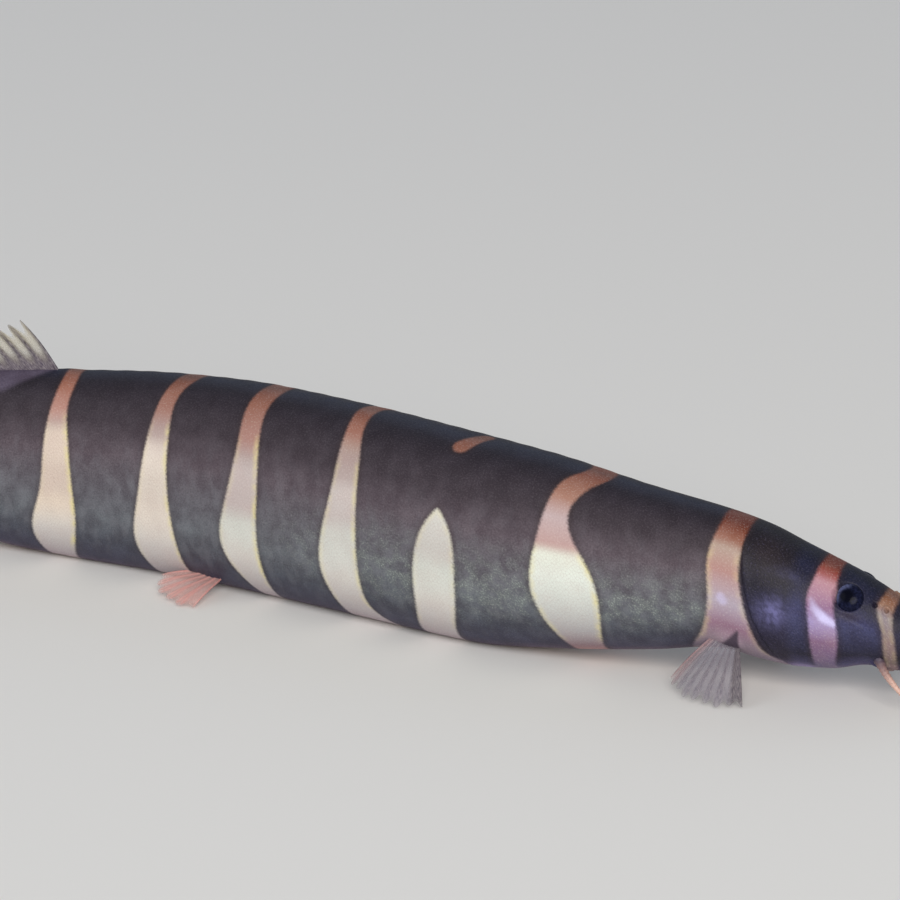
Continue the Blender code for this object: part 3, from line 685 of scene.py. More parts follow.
def mesh_object(name, points, faces, attributes, uv=None):
    """A smooth mesh object from points in millimetres, with point attributes and a UV map if given."""
    mesh = bpy.data.meshes.new(name)
    mesh.from_pydata((np.asarray(points).reshape(-1, 3) * MM).tolist(), [], faces)
    mesh.shade_smooth()
    for key, values in attributes.items():
        values = np.asarray(values, float)
        if values.size == len(mesh.vertices):
            layer = mesh.attributes.new(key, "FLOAT", "POINT")
            layer.data.foreach_set("value", values.ravel())
        elif key.endswith("_mm"):
            layer = mesh.attributes.new(key, "FLOAT_VECTOR", "POINT")
            layer.data.foreach_set("vector", values.ravel())
        else:
            layer = mesh.attributes.new(key, "FLOAT_COLOR", "POINT")
            rgba = np.concatenate([values.reshape(-1, 3), np.ones((len(mesh.vertices), 1))], axis=1)
            layer.data.foreach_set("color", rgba.ravel())
    if uv is not None:
        layer = mesh.uv_layers.new(name="OFBake")
        layer.data.foreach_set("uv", np.asarray(uv, float).ravel())
    made = bpy.data.objects.new(name, mesh)
    bpy.context.scene.collection.objects.link(made)
    return made


def make_piece(name, points, faces, attributes, material):
    """A mesh object with its material, body and slot, which replaces the solid of the same name."""
    made = mesh_object(name, points, faces, attributes)
    made.data.materials.append(material)
    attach(made, "root")
    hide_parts(name)


def ring_quads(index):
    """Quads between each ring of point numbers and the next."""
    beside = np.roll(index, -1, axis=1)
    return np.stack([index[:-1], index[1:], beside[1:], beside[:-1]], axis=-1).reshape(-1, 4).tolist()


# UV map of the skin: the front of the body above, the rest below, and the two small end caps in a corner
UV_SPLIT_STATION = 29.0
UV_BANDS = {"front": (0.515, 0.965), "rear": (0.03, 0.48)}
UV_MARGIN = 0.01
UV_CAP_RADIUS, UV_CAPS = 0.008, ((0.02, 0.985), (0.05, 0.985))


def skin_uv(faces_rows, faces_columns, rows):
    """UV corners of the skin's quads, given the row and column of each corner."""
    station = rows[faces_rows]
    in_front = station.mean(axis=1, keepdims=True) < UV_SPLIT_STATION
    u_front = station / UV_SPLIT_STATION
    u_rear = (station - UV_SPLIT_STATION) / (SKIN_END - UV_SPLIT_STATION)
    u = UV_MARGIN + (1 - 2 * UV_MARGIN) * np.clip(np.where(in_front, u_front, u_rear), 0, 1)
    v = faces_columns / SKIN_COLUMNS
    v = np.where(in_front, between(UV_BANDS["front"], v), between(UV_BANDS["rear"], v))
    return np.stack([u, v], axis=-1).reshape(-1, 2)


def skin_caps(count):
    """Triangles that close the skin's two ends, each to a tip of its own after all rows, with their UVs."""
    caps, uv = [], []
    for end, (row, order) in enumerate(((0, -1), (count - 1, 1))):
        tip = count * SKIN_COLUMNS + end
        middle = UV_CAPS[end]
        for k in range(SKIN_COLUMNS):
            pair = [(row * SKIN_COLUMNS + j % SKIN_COLUMNS, 2 * np.pi * j / SKIN_COLUMNS) for j in (k, k + 1)]
            pair = pair[::order]
            caps.append([pair[0][0], pair[1][0], tip])
            uv += [middle + UV_CAP_RADIUS * np.array((np.cos(turn), np.sin(turn))) for point, turn in pair]
            uv.append(middle)
    return caps, uv


def make_skin():
    """One skin from the snout to the root of the tail fin, with every relief and marking."""
    rows = skin_rows()
    angles = BELOW + np.linspace(0, 360, SKIN_COLUMNS, endpoint=False)
    station, angle = np.meshgrid(rows, angles, indexing="ij")
    base = body_point(station, angle)
    lift = body_relief(base, station, angle)
    front = rows < FACE_END
    lift[front] += face_relief(base[front])
    points = body_point(station, angle, lift)

    arc = np.linalg.norm(np.diff(base, axis=1, append=base[:, :1]), axis=2)
    arc = np.cumsum(arc, axis=1) - arc
    arc -= arc[:, SKIN_COLUMNS // 2:SKIN_COLUMNS // 2 + 1]
    looks = {
        key: np.concatenate([values.reshape(-1, *values.shape[2:]), values[0, :1], values[-1, :1]])
        for key, values in skin_looks(base, station, angle, arc).items()
    }

    r, c = np.meshgrid(np.arange(len(rows) - 1), np.arange(SKIN_COLUMNS), indexing="ij")
    corner_rows = np.stack([r, r, r + 1, r + 1], axis=-1).reshape(-1, 4)
    corner_columns = np.stack([c, c + 1, c + 1, c], axis=-1).reshape(-1, 4)
    quads = corner_rows * SKIN_COLUMNS + corner_columns % SKIN_COLUMNS
    caps, cap_uv = skin_caps(len(rows))
    tips = [points[0].mean(axis=0), points[-1].mean(axis=0)]
    uv = np.concatenate([skin_uv(corner_rows, corner_columns, rows), cap_uv])
    all_points = np.concatenate([points.reshape(-1, 3), tips])
    skin = mesh_object("skin", all_points, quads.tolist() + caps, looks, uv)
    skin.data.materials.append(skin_material())
    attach(skin, "root")
    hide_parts("head", "trunk_front", "trunk_middle", "trunk_rear", "tail_stem")


class Shader:
    """A material built node by node. Its methods add a node and return the socket that it gives."""

    def __init__(self, name, **settings):
        self.material = bpy.data.materials.new(name)
        self.material.use_nodes = True
        self.tree = self.material.node_tree
        self.surface = self.tree.nodes["Principled BSDF"]
        for key, value in settings.items():
            self.surface.inputs[key.replace("_", " ")].default_value = value

    def add(self, kind, inputs, output=0, **options):
        node = self.tree.nodes.new(kind)
        for key, value in options.items():
            setattr(node, key, value)
        for key, value in inputs.items():
            socket = node.inputs[key]
            if isinstance(value, bpy.types.NodeSocket):
                self.tree.links.new(value, socket)
            else:
                socket.default_value = value
        return node.outputs[output]

    def attribute(self, name, output="Fac"):
        return self.add("ShaderNodeAttribute", {}, output, attribute_name=name)

    def math(self, operation, a, b=0.0, clamp=False):
        return self.add("ShaderNodeMath", {0: a, 1: b}, operation=operation, use_clamp=clamp)

    def times(self, product, *factors):
        for factor in factors:
            product = self.math("MULTIPLY", product, factor)
        return product

    def step(self, value, low, high, to_low=0.0, to_high=1.0):
        """The value's place between low and high as a smooth step from one number to another."""
        inputs = {"Value": value, "From Min": low, "From Max": high, "To Min": to_low, "To Max": to_high}
        return self.add("ShaderNodeMapRange", inputs, interpolation_type="SMOOTHSTEP")

    def scaled(self, vector, scale, turn=0.0):
        inputs = {"Vector": vector, "Scale": scale, "Rotation": (0, 0, np.radians(turn))}
        return self.add("ShaderNodeMapping", inputs)

    def noise(self, vector, scale, detail=3.0, rough=0.55):
        inputs = {"Vector": vector, "Scale": scale, "Detail": detail, "Roughness": rough}
        return self.add("ShaderNodeTexNoise", inputs)

    def cells(self, vector, scale, randomness, feature="F1"):
        inputs = {"Vector": vector, "Scale": scale, "Randomness": randomness}
        return self.add("ShaderNodeTexVoronoi", inputs, feature=feature, voronoi_dimensions="2D")

    def mix(self, share, under, over, blend_type="MIX"):
        """One colour laid over another, or multiplied into it, by a share."""
        made = self.tree.nodes.new("ShaderNodeMix")
        made.data_type = "RGBA"
        made.blend_type = blend_type
        for index, value in ((0, share), (6, under), (7, over)):
            if isinstance(value, bpy.types.NodeSocket):
                self.tree.links.new(value, made.inputs[index])
            elif index == 0:
                made.inputs[index].default_value = value
            else:
                made.inputs[index].default_value = (*linear(value), 1)
        return made.outputs[2]

    def layers(self, under, rows):
        """Colours laid over one another, each by the product of the shares after it."""
        for colour, *shares in rows:
            under = self.mix(self.times(*shares), under, colour)
        return under

    def set(self, **sockets):
        for key, value in sockets.items():
            self.tree.links.new(value, self.surface.inputs[key.replace("_", " ")])

    def bump(self, height, distance, strength=1.0):
        inputs = {"Height": height, "Distance": distance * MM, "Strength": strength}
        self.set(Normal=self.add("ShaderNodeBump", inputs))


MOTTLE_SHADE = (214, 208, 212)
LIGHT_GRAIN, DARK_GRAIN = (150, 142, 148), (34, 28, 34)
SILVER, GREEN, SPECK, NET = (126, 127, 134), (121, 129, 125), (172, 180, 172), (30, 24, 30)
HEAD_FLECK, GILL_BLUE, BAR_RIM = (112, 108, 150), (114, 112, 162), (50, 36, 34)
BAR_CLOUD, BAR_NET = (190, 158, 150), (164, 140, 134)
BAR_LIGHT, BAR_DARK, BAR_YELLOW = (250, 244, 236), (150, 118, 112), (224, 212, 146)
# The first colour on the next line is painted highlight, a lavender white laid across the cheek and gill bars
PAINTED_HIGHLIGHT, PECTORAL_SPOT = (206, 200, 240), (60, 51, 65)


def skin_material():
    """Dark mottled skin with silvery specks, pale netted bars with yellow edges and a fine net of scales."""
    s = Shader("skin_looks", Coat_Weight=0.05, Coat_Roughness=0.30, Specular_IOR_Level=0.20)
    flat = s.attribute("skin_mm", "Vector")
    fine = s.noise(flat, 7.5, 4)
    grain = s.noise(flat, 10, 2)
    clouds = s.noise(flat, 0.8, 4)
    clumps = s.noise(flat, 1.5, 4, 0.6)
    haze = s.noise(s.scaled(flat, (1, 0.5, 1)), 1.5, 3)
    blotches = s.noise(flat, 2.6, 3)
    scales = s.cells(s.scaled(flat, (1, 0.86, 1), 45), 6.0, 0.7, "DISTANCE_TO_EDGE")
    net = s.step(scales, 0.02, 0.16)
    ragged = s.math("SUBTRACT", fine, 0.5)
    inside = s.math("ADD", s.attribute("bar"), s.times(ragged, 0.20))
    in_bar = s.step(inside, -0.13, 0.13)

    ground = s.attribute("ground", "Color")
    mottle = s.math("ADD", s.times(clouds, 0.75), s.times(fine, 0.35))
    ground = s.mix(s.step(mottle, 0.42, 0.72), s.mix(1.0, ground, MOTTLE_SHADE, "MULTIPLY"), ground)
    green = s.times(s.step(clumps, 0.40, 0.62), s.attribute("grainy"))
    ground = s.layers(ground, (
        (LIGHT_GRAIN, s.step(grain, 0.48, 0.72), 0.07),
        (DARK_GRAIN, s.step(grain, 0.52, 0.34), 0.22),
        (SILVER, s.step(haze, 0.44, 0.66), s.attribute("silver"), 0.27),
        (GREEN, green, 0.42),
        (SPECK, s.step(grain, 0.50, 0.68), green, 0.5),
        (NET, s.step(net, 0.7, 0.0), 0.10),
        (HEAD_FLECK, s.step(fine, 0.56, 0.72), s.attribute("headness"), 0.14),
        (GILL_BLUE, s.step(blotches, 0.34, 0.64, 0.38, 1.0), s.attribute("gill_blue"), 0.8),
        (BAR_RIM, s.step(inside, -0.42, -0.06), 0.30),
    ))
    patchy = s.step(clumps, 0.34, 0.62, 0.15, 0.75)
    bar = s.layers(s.attribute("bar_colour", "Color"), (
        (BAR_CLOUD, s.step(clouds, 0.4, 0.7), 0.10),
        (BAR_NET, s.step(net, 0.75, 0.0), s.attribute("netted"), 0.17),
        (BAR_LIGHT, s.step(grain, 0.50, 0.72), 0.12),
        (BAR_DARK, s.step(fine, 0.50, 0.32), 0.12),
        (BAR_YELLOW, s.step(inside, 0.42, 0.04), s.attribute("yellow"), patchy),
    ))
    # Painted highlights: soft lavender-white lines laid over the cheek and gill bars
    in_highlight = s.step(s.math("ADD", s.attribute("painted_highlight"), s.times(ragged, 0.10)), -0.16, 0.16)
    s.set(Base_Color=s.layers(s.mix(in_bar, ground, bar), (
        (PAINTED_HIGHLIGHT, in_highlight, in_bar, s.attribute("highlight_share"), 0.94),
        (PECTORAL_SPOT, s.attribute("fin_spot"), 0.92),
    )))
    s.set(Roughness=s.step(fine, 0.3, 0.7, 0.46, 0.60))
    s.bump(s.math("ADD", s.times(net, 0.45), s.times(fine, 0.9)), 0.03, 0.5)
    return s.material


# Fins: the same fans as in the solids, with thin webs, branching rays and roots sunk in the skin. Pairs of
# values run from the front ray to the rear one, and in the tail fin from the lowest to the highest
DORSAL = {
    "rays": 8, "rows": 60, "base": (53.7, 59.8), "sweep": (2.6, 2.6), "rise": (2.75, 1.6), "notch": 0.22,
}
DORSAL_BRANCHES = {"spread": 0.07, "tip_width": 0.15}
DORSAL_BOW = (0.4, 0.04, 0.36)
ANAL = {
    "rays": 7, "rows": 52, "base": (63.2, 67.4), "sweep": (3.3, 3.1), "tip_height": (0.12, 0.7),
    "notch": 0.08,
}
CAUDAL = {"rays": 16, "rows": 90, "end": 91.4, "corner": 1.3, "height": (0.0, 10.6), "notch": 0.022}
CAUDAL_ROOT_INSET = 0.35
PECTORAL = {
    "rays": 9, "rows": 56, "base": (9.9, 11.1), "angle": (-48, -42), "fan": (125, 17), "reach": 2.9,
    "notch": 0.07,
}
PELVIC = {
    "rays": 6, "rows": 56, "base": (42.0, 43.2), "angle": (-58, -56), "fan": (105, 12), "reach": 3.3,
    "notch": 0.07,
}
PAIRED_TIP_HEIGHT, PAIRED_TRAILING_LIFT, PAIRED_BOW = 0.18, 0.5, 0.35
FIN_ROOT_DEPTH = 0.35
RAY_STEPS = 14
RAY_BRANCHES = {"spread": 0.19, "tip_width": 0.09}
RAY_BRANCH_AT, RAY_WIDTH, RAY_TAPER = 0.42, 0.24, 0.7
RAY_UNEVEN, RAY_UNEVEN_TURN = 0.02, 2.4
WEB_HALF, RAY_HALF, TIP_HALF = 0.03, 0.065, 0.02
RAY_JOINTS, RAY_JOINT_DEPTH, RAY_JOINTS_FROM = 17, 0.16, 0.3

# Colours of web, rays and root, how far up the root's colour reaches, and how solid web and rays are
FIN_TONES = {
    "dorsal_fin": {
        "web": (180, 172, 146), "ray": (50, 43, 50), "root": (72, 62, 78), "root_end": 0.8,
        "cover": (0.35, 0.97),
    },
    "caudal_fin": {
        "web": (158, 150, 150), "ray": (88, 78, 84), "root": (46, 40, 48), "root_end": 0.66,
        "cover": (0.42, 0.85),
    },
    "anal_fin": {
        "web": (212, 186, 178), "ray": (170, 132, 128), "root": (190, 156, 150), "root_end": 0.2,
        "cover": (0.25, 0.75),
    },
    "pectoral_fin": {
        "web": (138, 132, 147), "ray": (100, 92, 106), "root": (104, 93, 108), "root_end": 0.16,
        "cover": (0.30, 0.62),
    },
    "pelvic_fin": {
        "web": (234, 184, 176), "ray": (222, 150, 142), "root": (216, 158, 152), "root_end": 0.22,
        "cover": (0.36, 0.72),
    },
}
ROOT_FULL = 0.3
RAY_PALING, RAY_PALES = 0.35, (0.6, 1)
MARGIN_FADE, MARGIN = 0.55, (0.88, 1)
PECTORAL_STREAK = {
    "front": (-0.15, -0.1), "rear": (0.16, 0.10), "colour": (58, 48, 60), "share": 0.8, "cover": 0.75,
}
PECTORAL_MARGIN = {"across": (0.72, 1.0), "colour": (186, 138, 138), "share": 0.7}
FAN_MM = 6


def fin_grid(spec, root, tip, bow, branches):
    """Points of a fin's middle sheet, how much each lies on a ray, and its place along and across the fin."""
    rays = spec["rays"]
    across = np.linspace(0, 1, (rays - 1) * RAY_STEPS + 1)
    u, t = np.meshgrid(np.linspace(0, 1, spec["rows"]), across, indexing="ij")
    nearest = np.round(t * (rays - 1))
    offset = t * (rays - 1) - nearest
    split = branches["spread"] * np.clip((u - RAY_BRANCH_AT) / (1 - RAY_BRANCH_AT), 0, 1)
    split = np.where((nearest == 0) | (nearest == rays - 1), 0, split)
    width = between((RAY_WIDTH, branches["tip_width"]), u**RAY_TAPER)
    ray = np.maximum(bump(offset, split, width), bump(offset, -split, width))
    on_ray = np.cos(np.pi * offset[-1]) ** 2
    uneven = RAY_UNEVEN * np.sin(across * (rays - 1) * RAY_UNEVEN_TURN + rays)
    reach = (u * (1 - spec["notch"] * (1 - on_ray) + uneven))[:, :, None]
    roots, tips = root(across), tip(across)
    grid = roots + (tips - roots) * reach
    return grid + np.array(bow) * np.sin(np.pi * reach / 2) ** 2 * (1 - reach), ray, u, t


def fin_looks(kind, ray, u, t):
    """A fin's attributes: its colour, how solid it is, and flat coordinates for its fibres."""
    look = FIN_TONES[kind]
    firmness = ray * (1 - RAY_PALING * ease(u, *RAY_PALES))
    colour = blend(np.broadcast_to(linear(look["web"]), (*u.shape, 3)), linear(look["ray"]), firmness)
    cover = between(look["cover"], ray)
    if kind == "pectoral_fin":
        streak = ease(t, *PECTORAL_STREAK["front"]) * ease(t, *PECTORAL_STREAK["rear"])
        colour = blend(colour, linear(PECTORAL_STREAK["colour"]), PECTORAL_STREAK["share"] * streak)
        cover = np.maximum(cover, PECTORAL_STREAK["cover"] * streak)
        margin = PECTORAL_MARGIN["share"] * ease(t, *PECTORAL_MARGIN["across"])
        colour = blend(colour, linear(PECTORAL_MARGIN["colour"]), margin)
    rootness = ease(u, look["root_end"], ROOT_FULL * look["root_end"])
    colour = blend(colour, linear(look["root"]), rootness)
    cover = np.maximum(cover, rootness) * (1 - MARGIN_FADE * ease(u, *MARGIN))
    fan = np.stack([u * FAN_MM, t * FAN_MM, 0 * t], axis=-1)
    looks = {"fin_colour": colour, "cover": cover, "fan_mm": fan}
    return {key: np.stack([values, values]) for key, values in looks.items()}


def make_fin(name, kind, spec, root, tip, material, bow=(0, 0, 0), branches=RAY_BRANCHES):
    """A thin fin with ridged, jointed rays, closed all round, which replaces the solid of the same name."""
    grid, ray, u, t = fin_grid(spec, root, tip, bow, branches)
    joints = np.clip(np.cos(u * RAY_JOINTS * 2 * np.pi) * 4 - 3, 0, 1) * (u > RAY_JOINTS_FROM)
    half = between((WEB_HALF, RAY_HALF), ray * (1 - RAY_JOINT_DEPTH * joints))
    half = between((half, TIP_HALF), u**3)
    normal = unit(np.cross(np.gradient(grid, axis=0), np.gradient(grid, axis=1)))
    sheets = [grid + side * normal * half[:, :, None] for side in (1, -1)]
    points = np.maximum(np.stack(sheets), (-np.inf, -np.inf, 0))
    top, under = np.arange(2 * u.size).reshape(2, *u.shape)
    upper = np.stack([top[:-1, :-1], top[1:, :-1], top[1:, 1:], top[:-1, 1:]], axis=-1).reshape(-1, 4)
    lower = np.stack([under[:-1, :-1], under[:-1, 1:], under[1:, 1:], under[1:, :-1]], axis=-1).reshape(-1, 4)
    ring = [np.concatenate([s[0, :-1], s[:-1, -1], s[-1, :0:-1], s[:0:-1, 0]]) for s in (top, under)]
    rim = np.stack([ring[0], np.roll(ring[0], -1), np.roll(ring[1], -1), ring[1]], axis=-1)
    faces = np.concatenate([upper, lower, rim]).tolist()
    make_piece(name, points, faces, fin_looks(kind, ray, u, t), material)


def fin_material(name, speck_share):
    """Clear web and firmer rays from the fin's own attributes, with fine fibres and dark specks."""
    s = Shader(name, Roughness=0.42, Specular_IOR_Level=0.4, Coat_Weight=0.15, Coat_Roughness=0.2)
    flat = s.attribute("fan_mm", "Vector")
    fibres = s.noise(s.scaled(flat, (1, 9, 1)), 2.2, 3)
    specks = s.step(s.noise(flat, 7, 3), 0.60, 0.72)
    s.set(Base_Color=s.layers(s.attribute("fin_colour", "Color"), (
        ((236, 226, 222), s.step(fibres, 0.35, 0.7), 0.25),
        ((52, 42, 50), specks, speck_share),
    )))
    cover = s.math("ADD", s.attribute("cover"), s.times(specks, 0.3 * speck_share))
    cover = s.math("ADD", cover, s.times(s.math("SUBTRACT", fibres, 0.5), 0.25), clamp=True)
    s.set(Alpha=cover)
    s.bump(fibres, 0.03, 0.4)
    return s.material


def make_paired(name, kind, spec, side, material):
    """One fin of a pair, fanning from forward and out to back along the body."""
    middle = between(spec["base"], 0.5)
    middle_out = section_point(middle, between(spec["angle"], 0.5))[0]

    def root(t):
        return body_point(between(spec["base"], t), on_side(between(spec["angle"], t), side), -FIN_ROOT_DEPTH)

    def tip(t):
        way = np.radians(between(spec["fan"], t))
        out = side * (middle_out + spec["reach"] * np.sin(way))
        height = PAIRED_TIP_HEIGHT + PAIRED_TRAILING_LIFT * t**2
        return place(middle + spec["reach"] * np.cos(way), out, height)

    make_fin(name, kind, spec, root, tip, material, bow=(0, 0, PAIRED_BOW))


def make_fins():
    """The dorsal, anal and tail fins on the middle line and the two pairs spread over the floor."""
    grey, pink = fin_material("fin_grey_looks", 0.5), fin_material("fin_pink_looks", 0.12)

    def dorsal_root(t):
        return body_point(between(DORSAL["base"], t), 90.0, -FIN_ROOT_DEPTH)

    def dorsal_tip(t):
        station = between(DORSAL["base"], t)
        height = smooth(BACK, station) + between(DORSAL["rise"], t)
        return place(station + between(DORSAL["sweep"], t), 0.0, height)

    def anal_root(t):
        return body_point(between(ANAL["base"], t), BELOW, -FIN_ROOT_DEPTH)

    def anal_tip(t):
        station = between(ANAL["base"], t) + between(ANAL["sweep"], t)
        return place(station, 0.0, between(ANAL["tip_height"], t))

    def caudal_root(t):
        low, high = smooth(BELLY, STANDARD_LENGTH), smooth(BACK, STANDARD_LENGTH)
        return place(STANDARD_LENGTH, 0.0, between((low + CAUDAL_ROOT_INSET, high - CAUDAL_ROOT_INSET), t))

    def caudal_tip(t):
        return place(CAUDAL["end"] - CAUDAL["corner"] * (2 * t - 1) ** 4, 0.0, between(CAUDAL["height"], t))

    make_fin(
        "dorsal_fin", "dorsal_fin", DORSAL, dorsal_root, dorsal_tip, grey, DORSAL_BOW, DORSAL_BRANCHES,
    )
    make_fin("anal_fin", "anal_fin", ANAL, anal_root, anal_tip, pink)
    make_fin("caudal_fin", "caudal_fin", CAUDAL, caudal_root, caudal_tip, grey)
    for word, side in SIDES.items():
        make_paired(f"pectoral_fin_{word}", "pectoral_fin", PECTORAL, side, grey)
    for word, side in SIDES.items():
        make_paired(f"pelvic_fin_{word}", "pelvic_fin", PELVIC, side, pink)


# Eyes: a near-black pupil that fades into a dark blue iris, with a painted lavender sheen along its rear edge
EYE_RINGS, EYE_SEGMENTS = 48, 64
PUPIL, PUPIL_EDGE = 0.46, 0.17
EYE_FRONT = 1.6
REAR_SHEEN = {"turn": 0.5, "sweep": (0.1, 0.9), "out": (0.40, 0.75)}


def eye_material():
    """Near-black pupil and a dark blue iris, with a painted lavender sheen on its rear edge."""
    s = Shader("eye_looks", Roughness=0.16, Specular_IOR_Level=0.05)
    flecks = s.noise(s.attribute("eye_mm", "Vector"), 7, 3)
    iris = s.mix(s.step(flecks, 0.4, 0.65), (15, 17, 35), (27, 30, 54))
    # Painted sheen: a soft lavender-blue crescent over the iris's rear edge
    iris = s.mix(s.times(s.attribute("rear"), s.step(flecks, 0.25, 0.6, 0.25, 0.75)), iris, (104, 110, 150))
    s.set(Base_Color=s.mix(s.attribute("iris"), (8, 9, 20), iris))
    return s.material


def make_eye(word, side, material):
    """A flattened ball set in its socket, with the pupil in the middle of its outer face."""
    centre, way = eye_place(side)
    tail = place(EYE_STATION + 1, 0, 0) - place(EYE_STATION, 0, 0)
    tail = unit(tail - (tail @ way) * way)
    up = np.cross(way, tail)
    polar, turn = np.meshgrid(
        np.linspace(0, np.pi, EYE_RINGS + 1)[1:-1], np.linspace(0, 2 * np.pi, EYE_SEGMENTS, endpoint=False),
        indexing="ij",
    )
    spread = np.sin(polar)
    flat = np.stack([spread * np.cos(turn), spread * np.sin(turn), 0 * turn], axis=-1) * EYE_RADIUS
    rise = np.cos(polar)[..., None] * EYE_DEPTH
    rings = centre + flat[..., :1] * tail + flat[..., 1:2] * up + rise * way
    ends = [centre + EYE_DEPTH * way, centre - EYE_DEPTH * way]
    index = np.arange(polar.size).reshape(polar.shape)
    beside = np.roll(index, -1, axis=1)
    front = np.stack([index[0], beside[0], np.full(EYE_SEGMENTS, polar.size)], axis=-1).tolist()
    back = np.stack([beside[-1], index[-1], np.full(EYE_SEGMENTS, polar.size + 1)], axis=-1).tolist()
    faces = ring_quads(index) + front + back
    if side < 0:
        faces = [face[::-1] for face in faces]
    sweep = ease(np.cos(turn + REAR_SHEEN["turn"] * side), *REAR_SHEEN["sweep"])
    looks = {
        "iris": np.where(polar < EYE_FRONT, ease(spread, PUPIL - PUPIL_EDGE, PUPIL + PUPIL_EDGE), 1),
        "rear": sweep * ease(spread, *REAR_SHEEN["out"]),
        "eye_mm": flat,
    }
    looks = {
        key: np.concatenate([values.reshape(-1, *values.shape[2:]), np.zeros((2, *values.shape[2:]))])
        for key, values in looks.items()
    }
    make_piece(f"eye_{word}", np.concatenate([rings.reshape(-1, 3), ends]), faces, looks, material)


# Barbels: root station and angle, the way they point (forward, out, up) and length, as in the solids
BARBELS = {
    "inner_rostral": {"root": (0.45, -44), "aim": (0.75, 0.30, -0.62), "length": 1.5},
    "outer_rostral": {"root": (0.85, -24), "aim": (0.50, 0.62, -0.60), "length": 1.9},
    "maxillary": {"root": (2.5, -42), "aim": (0.80, 0.40, -0.40), "length": 2.3},
}
BARBEL_RADII = (0.25, 0.10)
BARBEL_DROOP, BARBEL_SUNK, BARBEL_STAND_OFF = 0.35, 0.5, 0.3
BARBEL_FLARE = {"radius": 0.08, "at": 0.05, "spread": 0.13}
BARBEL_ROUND_FROM, BARBEL_ROUND_LENGTH, BARBEL_END_SHARE = 0.93, 0.075, 0.02
BARBEL_POINTS, BARBEL_SIDES = 36, 20
BARBEL_RINGS, BARBEL_RING_DEPTH = 13, 0.012
BARBEL_UPPER = (-0.3, 0.7)


def barbel_material():
    """Pinkish brown skin, dark like the snout at the root and on the upper side, and paler at the tip."""
    s = Shader("barbel_looks", Roughness=0.42, Coat_Weight=0.2, Coat_Roughness=0.25)
    grain = s.noise(s.attribute("tube_mm", "Vector"), 9, 3)
    along = s.attribute("along")
    s.set(Base_Color=s.layers(s.mix(s.step(along, 0.1, 0.8), (150, 116, 112), (214, 176, 160)), (
        ((92, 70, 74), s.step(grain, 0.5, 0.68), 0.45),
        ((62, 52, 66), s.attribute("upper"), s.step(along, 0.55, 0.05), 0.7),
        ((52, 47, 70), s.step(along, 0.26, 0.06)),
    )))
    s.bump(grain, 0.02, 0.5)
    return s.material


def make_barbel(name, spec, side, material):
    """A short tapered barbel with a flared root sunk in the skin, faint rings and a round tip."""
    station, angle = spec["root"][0], on_side(spec["root"][1], side)
    along = np.linspace(0, 1, BARBEL_POINTS)
    forward, out, up = unit(np.array(spec["aim"])) * spec["length"]
    reach = place(station - forward, side * out, up) - place(station, 0, 0)
    rise = BARBEL_STAND_OFF - (BARBEL_STAND_OFF + BARBEL_SUNK) * (1 - along[:, None]) ** 4
    line = body_point(station, angle) + reach * along[:, None] + outward(station, angle) * rise
    line = line + np.array([0, 0, -BARBEL_DROOP]) * along[:, None] ** 2
    way = unit(np.gradient(line, axis=0))
    across = unit(np.cross(way, (0, 0, 1)))
    upper = np.cross(across, way)
    flare = BARBEL_FLARE["radius"] * bump(along, BARBEL_FLARE["at"], BARBEL_FLARE["spread"])
    rings = BARBEL_RING_DEPTH / BARBEL_RADII[1] * np.cos(along * BARBEL_RINGS * 2 * np.pi)
    tip = np.clip((along - BARBEL_ROUND_FROM) / BARBEL_ROUND_LENGTH, 0, 1)
    radius = (between(BARBEL_RADII, along) + flare) * (1 - rings)
    radius = radius * np.sqrt(np.clip(1 - tip**2, BARBEL_END_SHARE, 1))
    turn = np.linspace(0, 2 * np.pi, BARBEL_SIDES, endpoint=False)
    ring = np.cos(turn)[None, :, None] * across[:, None] + np.sin(turn)[None, :, None] * upper[:, None]
    points = np.maximum(line[:, None] + ring * radius[:, None, None], (-np.inf, -np.inf, 0))
    index = np.arange(BARBEL_POINTS * BARBEL_SIDES).reshape(BARBEL_POINTS, BARBEL_SIDES)
    faces = ring_quads(index) + [index[0].tolist(), index[-1][::-1].tolist()]
    a, k = np.meshgrid(along, turn, indexing="ij")
    looks = {
        "along": a, "upper": ease(np.sin(k), *BARBEL_UPPER),
        "tube_mm": np.stack([a * spec["length"], k * BARBEL_RADII[0], 0 * a], axis=-1),
    }
    make_piece(name, points, faces, looks, material)


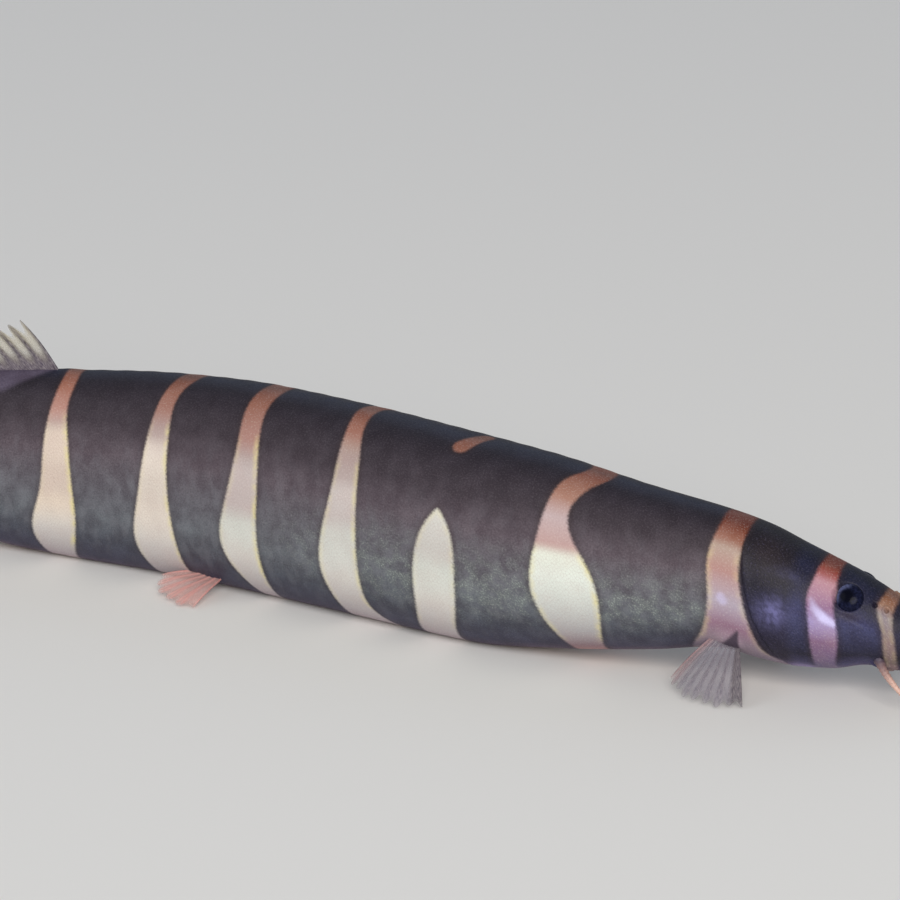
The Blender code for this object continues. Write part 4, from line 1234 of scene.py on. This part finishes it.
def make_eyes_and_barbels():
    """Both eyes and the three pairs of barbels."""
    material = eye_material()
    for word, side in SIDES.items():
        make_eye(word, side, material)
    material = barbel_material()
    for kind, spec in BARBELS.items():
        for word, side in SIDES.items():
            make_barbel(f"barbel_{kind}_{word}", spec, side, material)


def aim(made, target, azimuth, elevation, distance):
    """Put a camera or a light that far from a target, in that direction from it, and turn it to face it."""
    a, e = np.radians(azimuth), np.radians(elevation)
    back = np.array([np.sin(a) * np.cos(e), -np.cos(a) * np.cos(e), np.sin(e)])
    made.location = (np.array(target) + back * distance) * MM
    made.rotation_euler = Vector(back).to_track_quat("Z", "Y").to_euler()


def make_camera():
    data = bpy.data.cameras.new("camera")
    data.lens = CAMERA["lens"]
    data.clip_start, data.clip_end = CAMERA_CLIP
    camera = bpy.data.objects.new("camera", data)
    bpy.context.scene.collection.objects.link(camera)
    aim(camera, CAMERA["target"], CAMERA["azimuth"], CAMERA["elevation"], CAMERA["distance"])
    bpy.context.scene.camera = camera


def make_lights():
    """Three large soft lights and a pale world, shown without a film curve."""
    for name, spec in LIGHTS.items():
        data = bpy.data.lights.new(name, "AREA")
        data.shape = "DISK"
        data.size = spec["size"] * MM
        data.energy = spec["power"]
        data.color = linear(spec["colour"])
        lamp = bpy.data.objects.new(name, data)
        bpy.context.scene.collection.objects.link(lamp)
        aim(lamp, LIGHT_AIM, *spec["from"], spec["distance"])
    world = bpy.data.worlds.new("studio")
    world.use_nodes = True
    background = world.node_tree.nodes["Background"]
    background.inputs["Color"].default_value = (*linear(WORLD_COLOUR), 1)
    background.inputs["Strength"].default_value = WORLD_STRENGTH
    bpy.context.scene.world = world
    bpy.context.scene.view_settings.view_transform = "Standard"


def make_floor():
    bpy.ops.mesh.primitive_plane_add(size=FLOOR_SIZE)
    floor = bpy.context.object
    floor.name = "floor"
    s = Shader("floor_looks", Roughness=FLOOR_ROUGHNESS, Base_Color=(*linear(FLOOR_COLOUR), 1))
    floor.data.materials.append(s.material)


make_camera()
make_lights()
make_floor()
make_skin()
make_eyes_and_barbels()
make_fins()
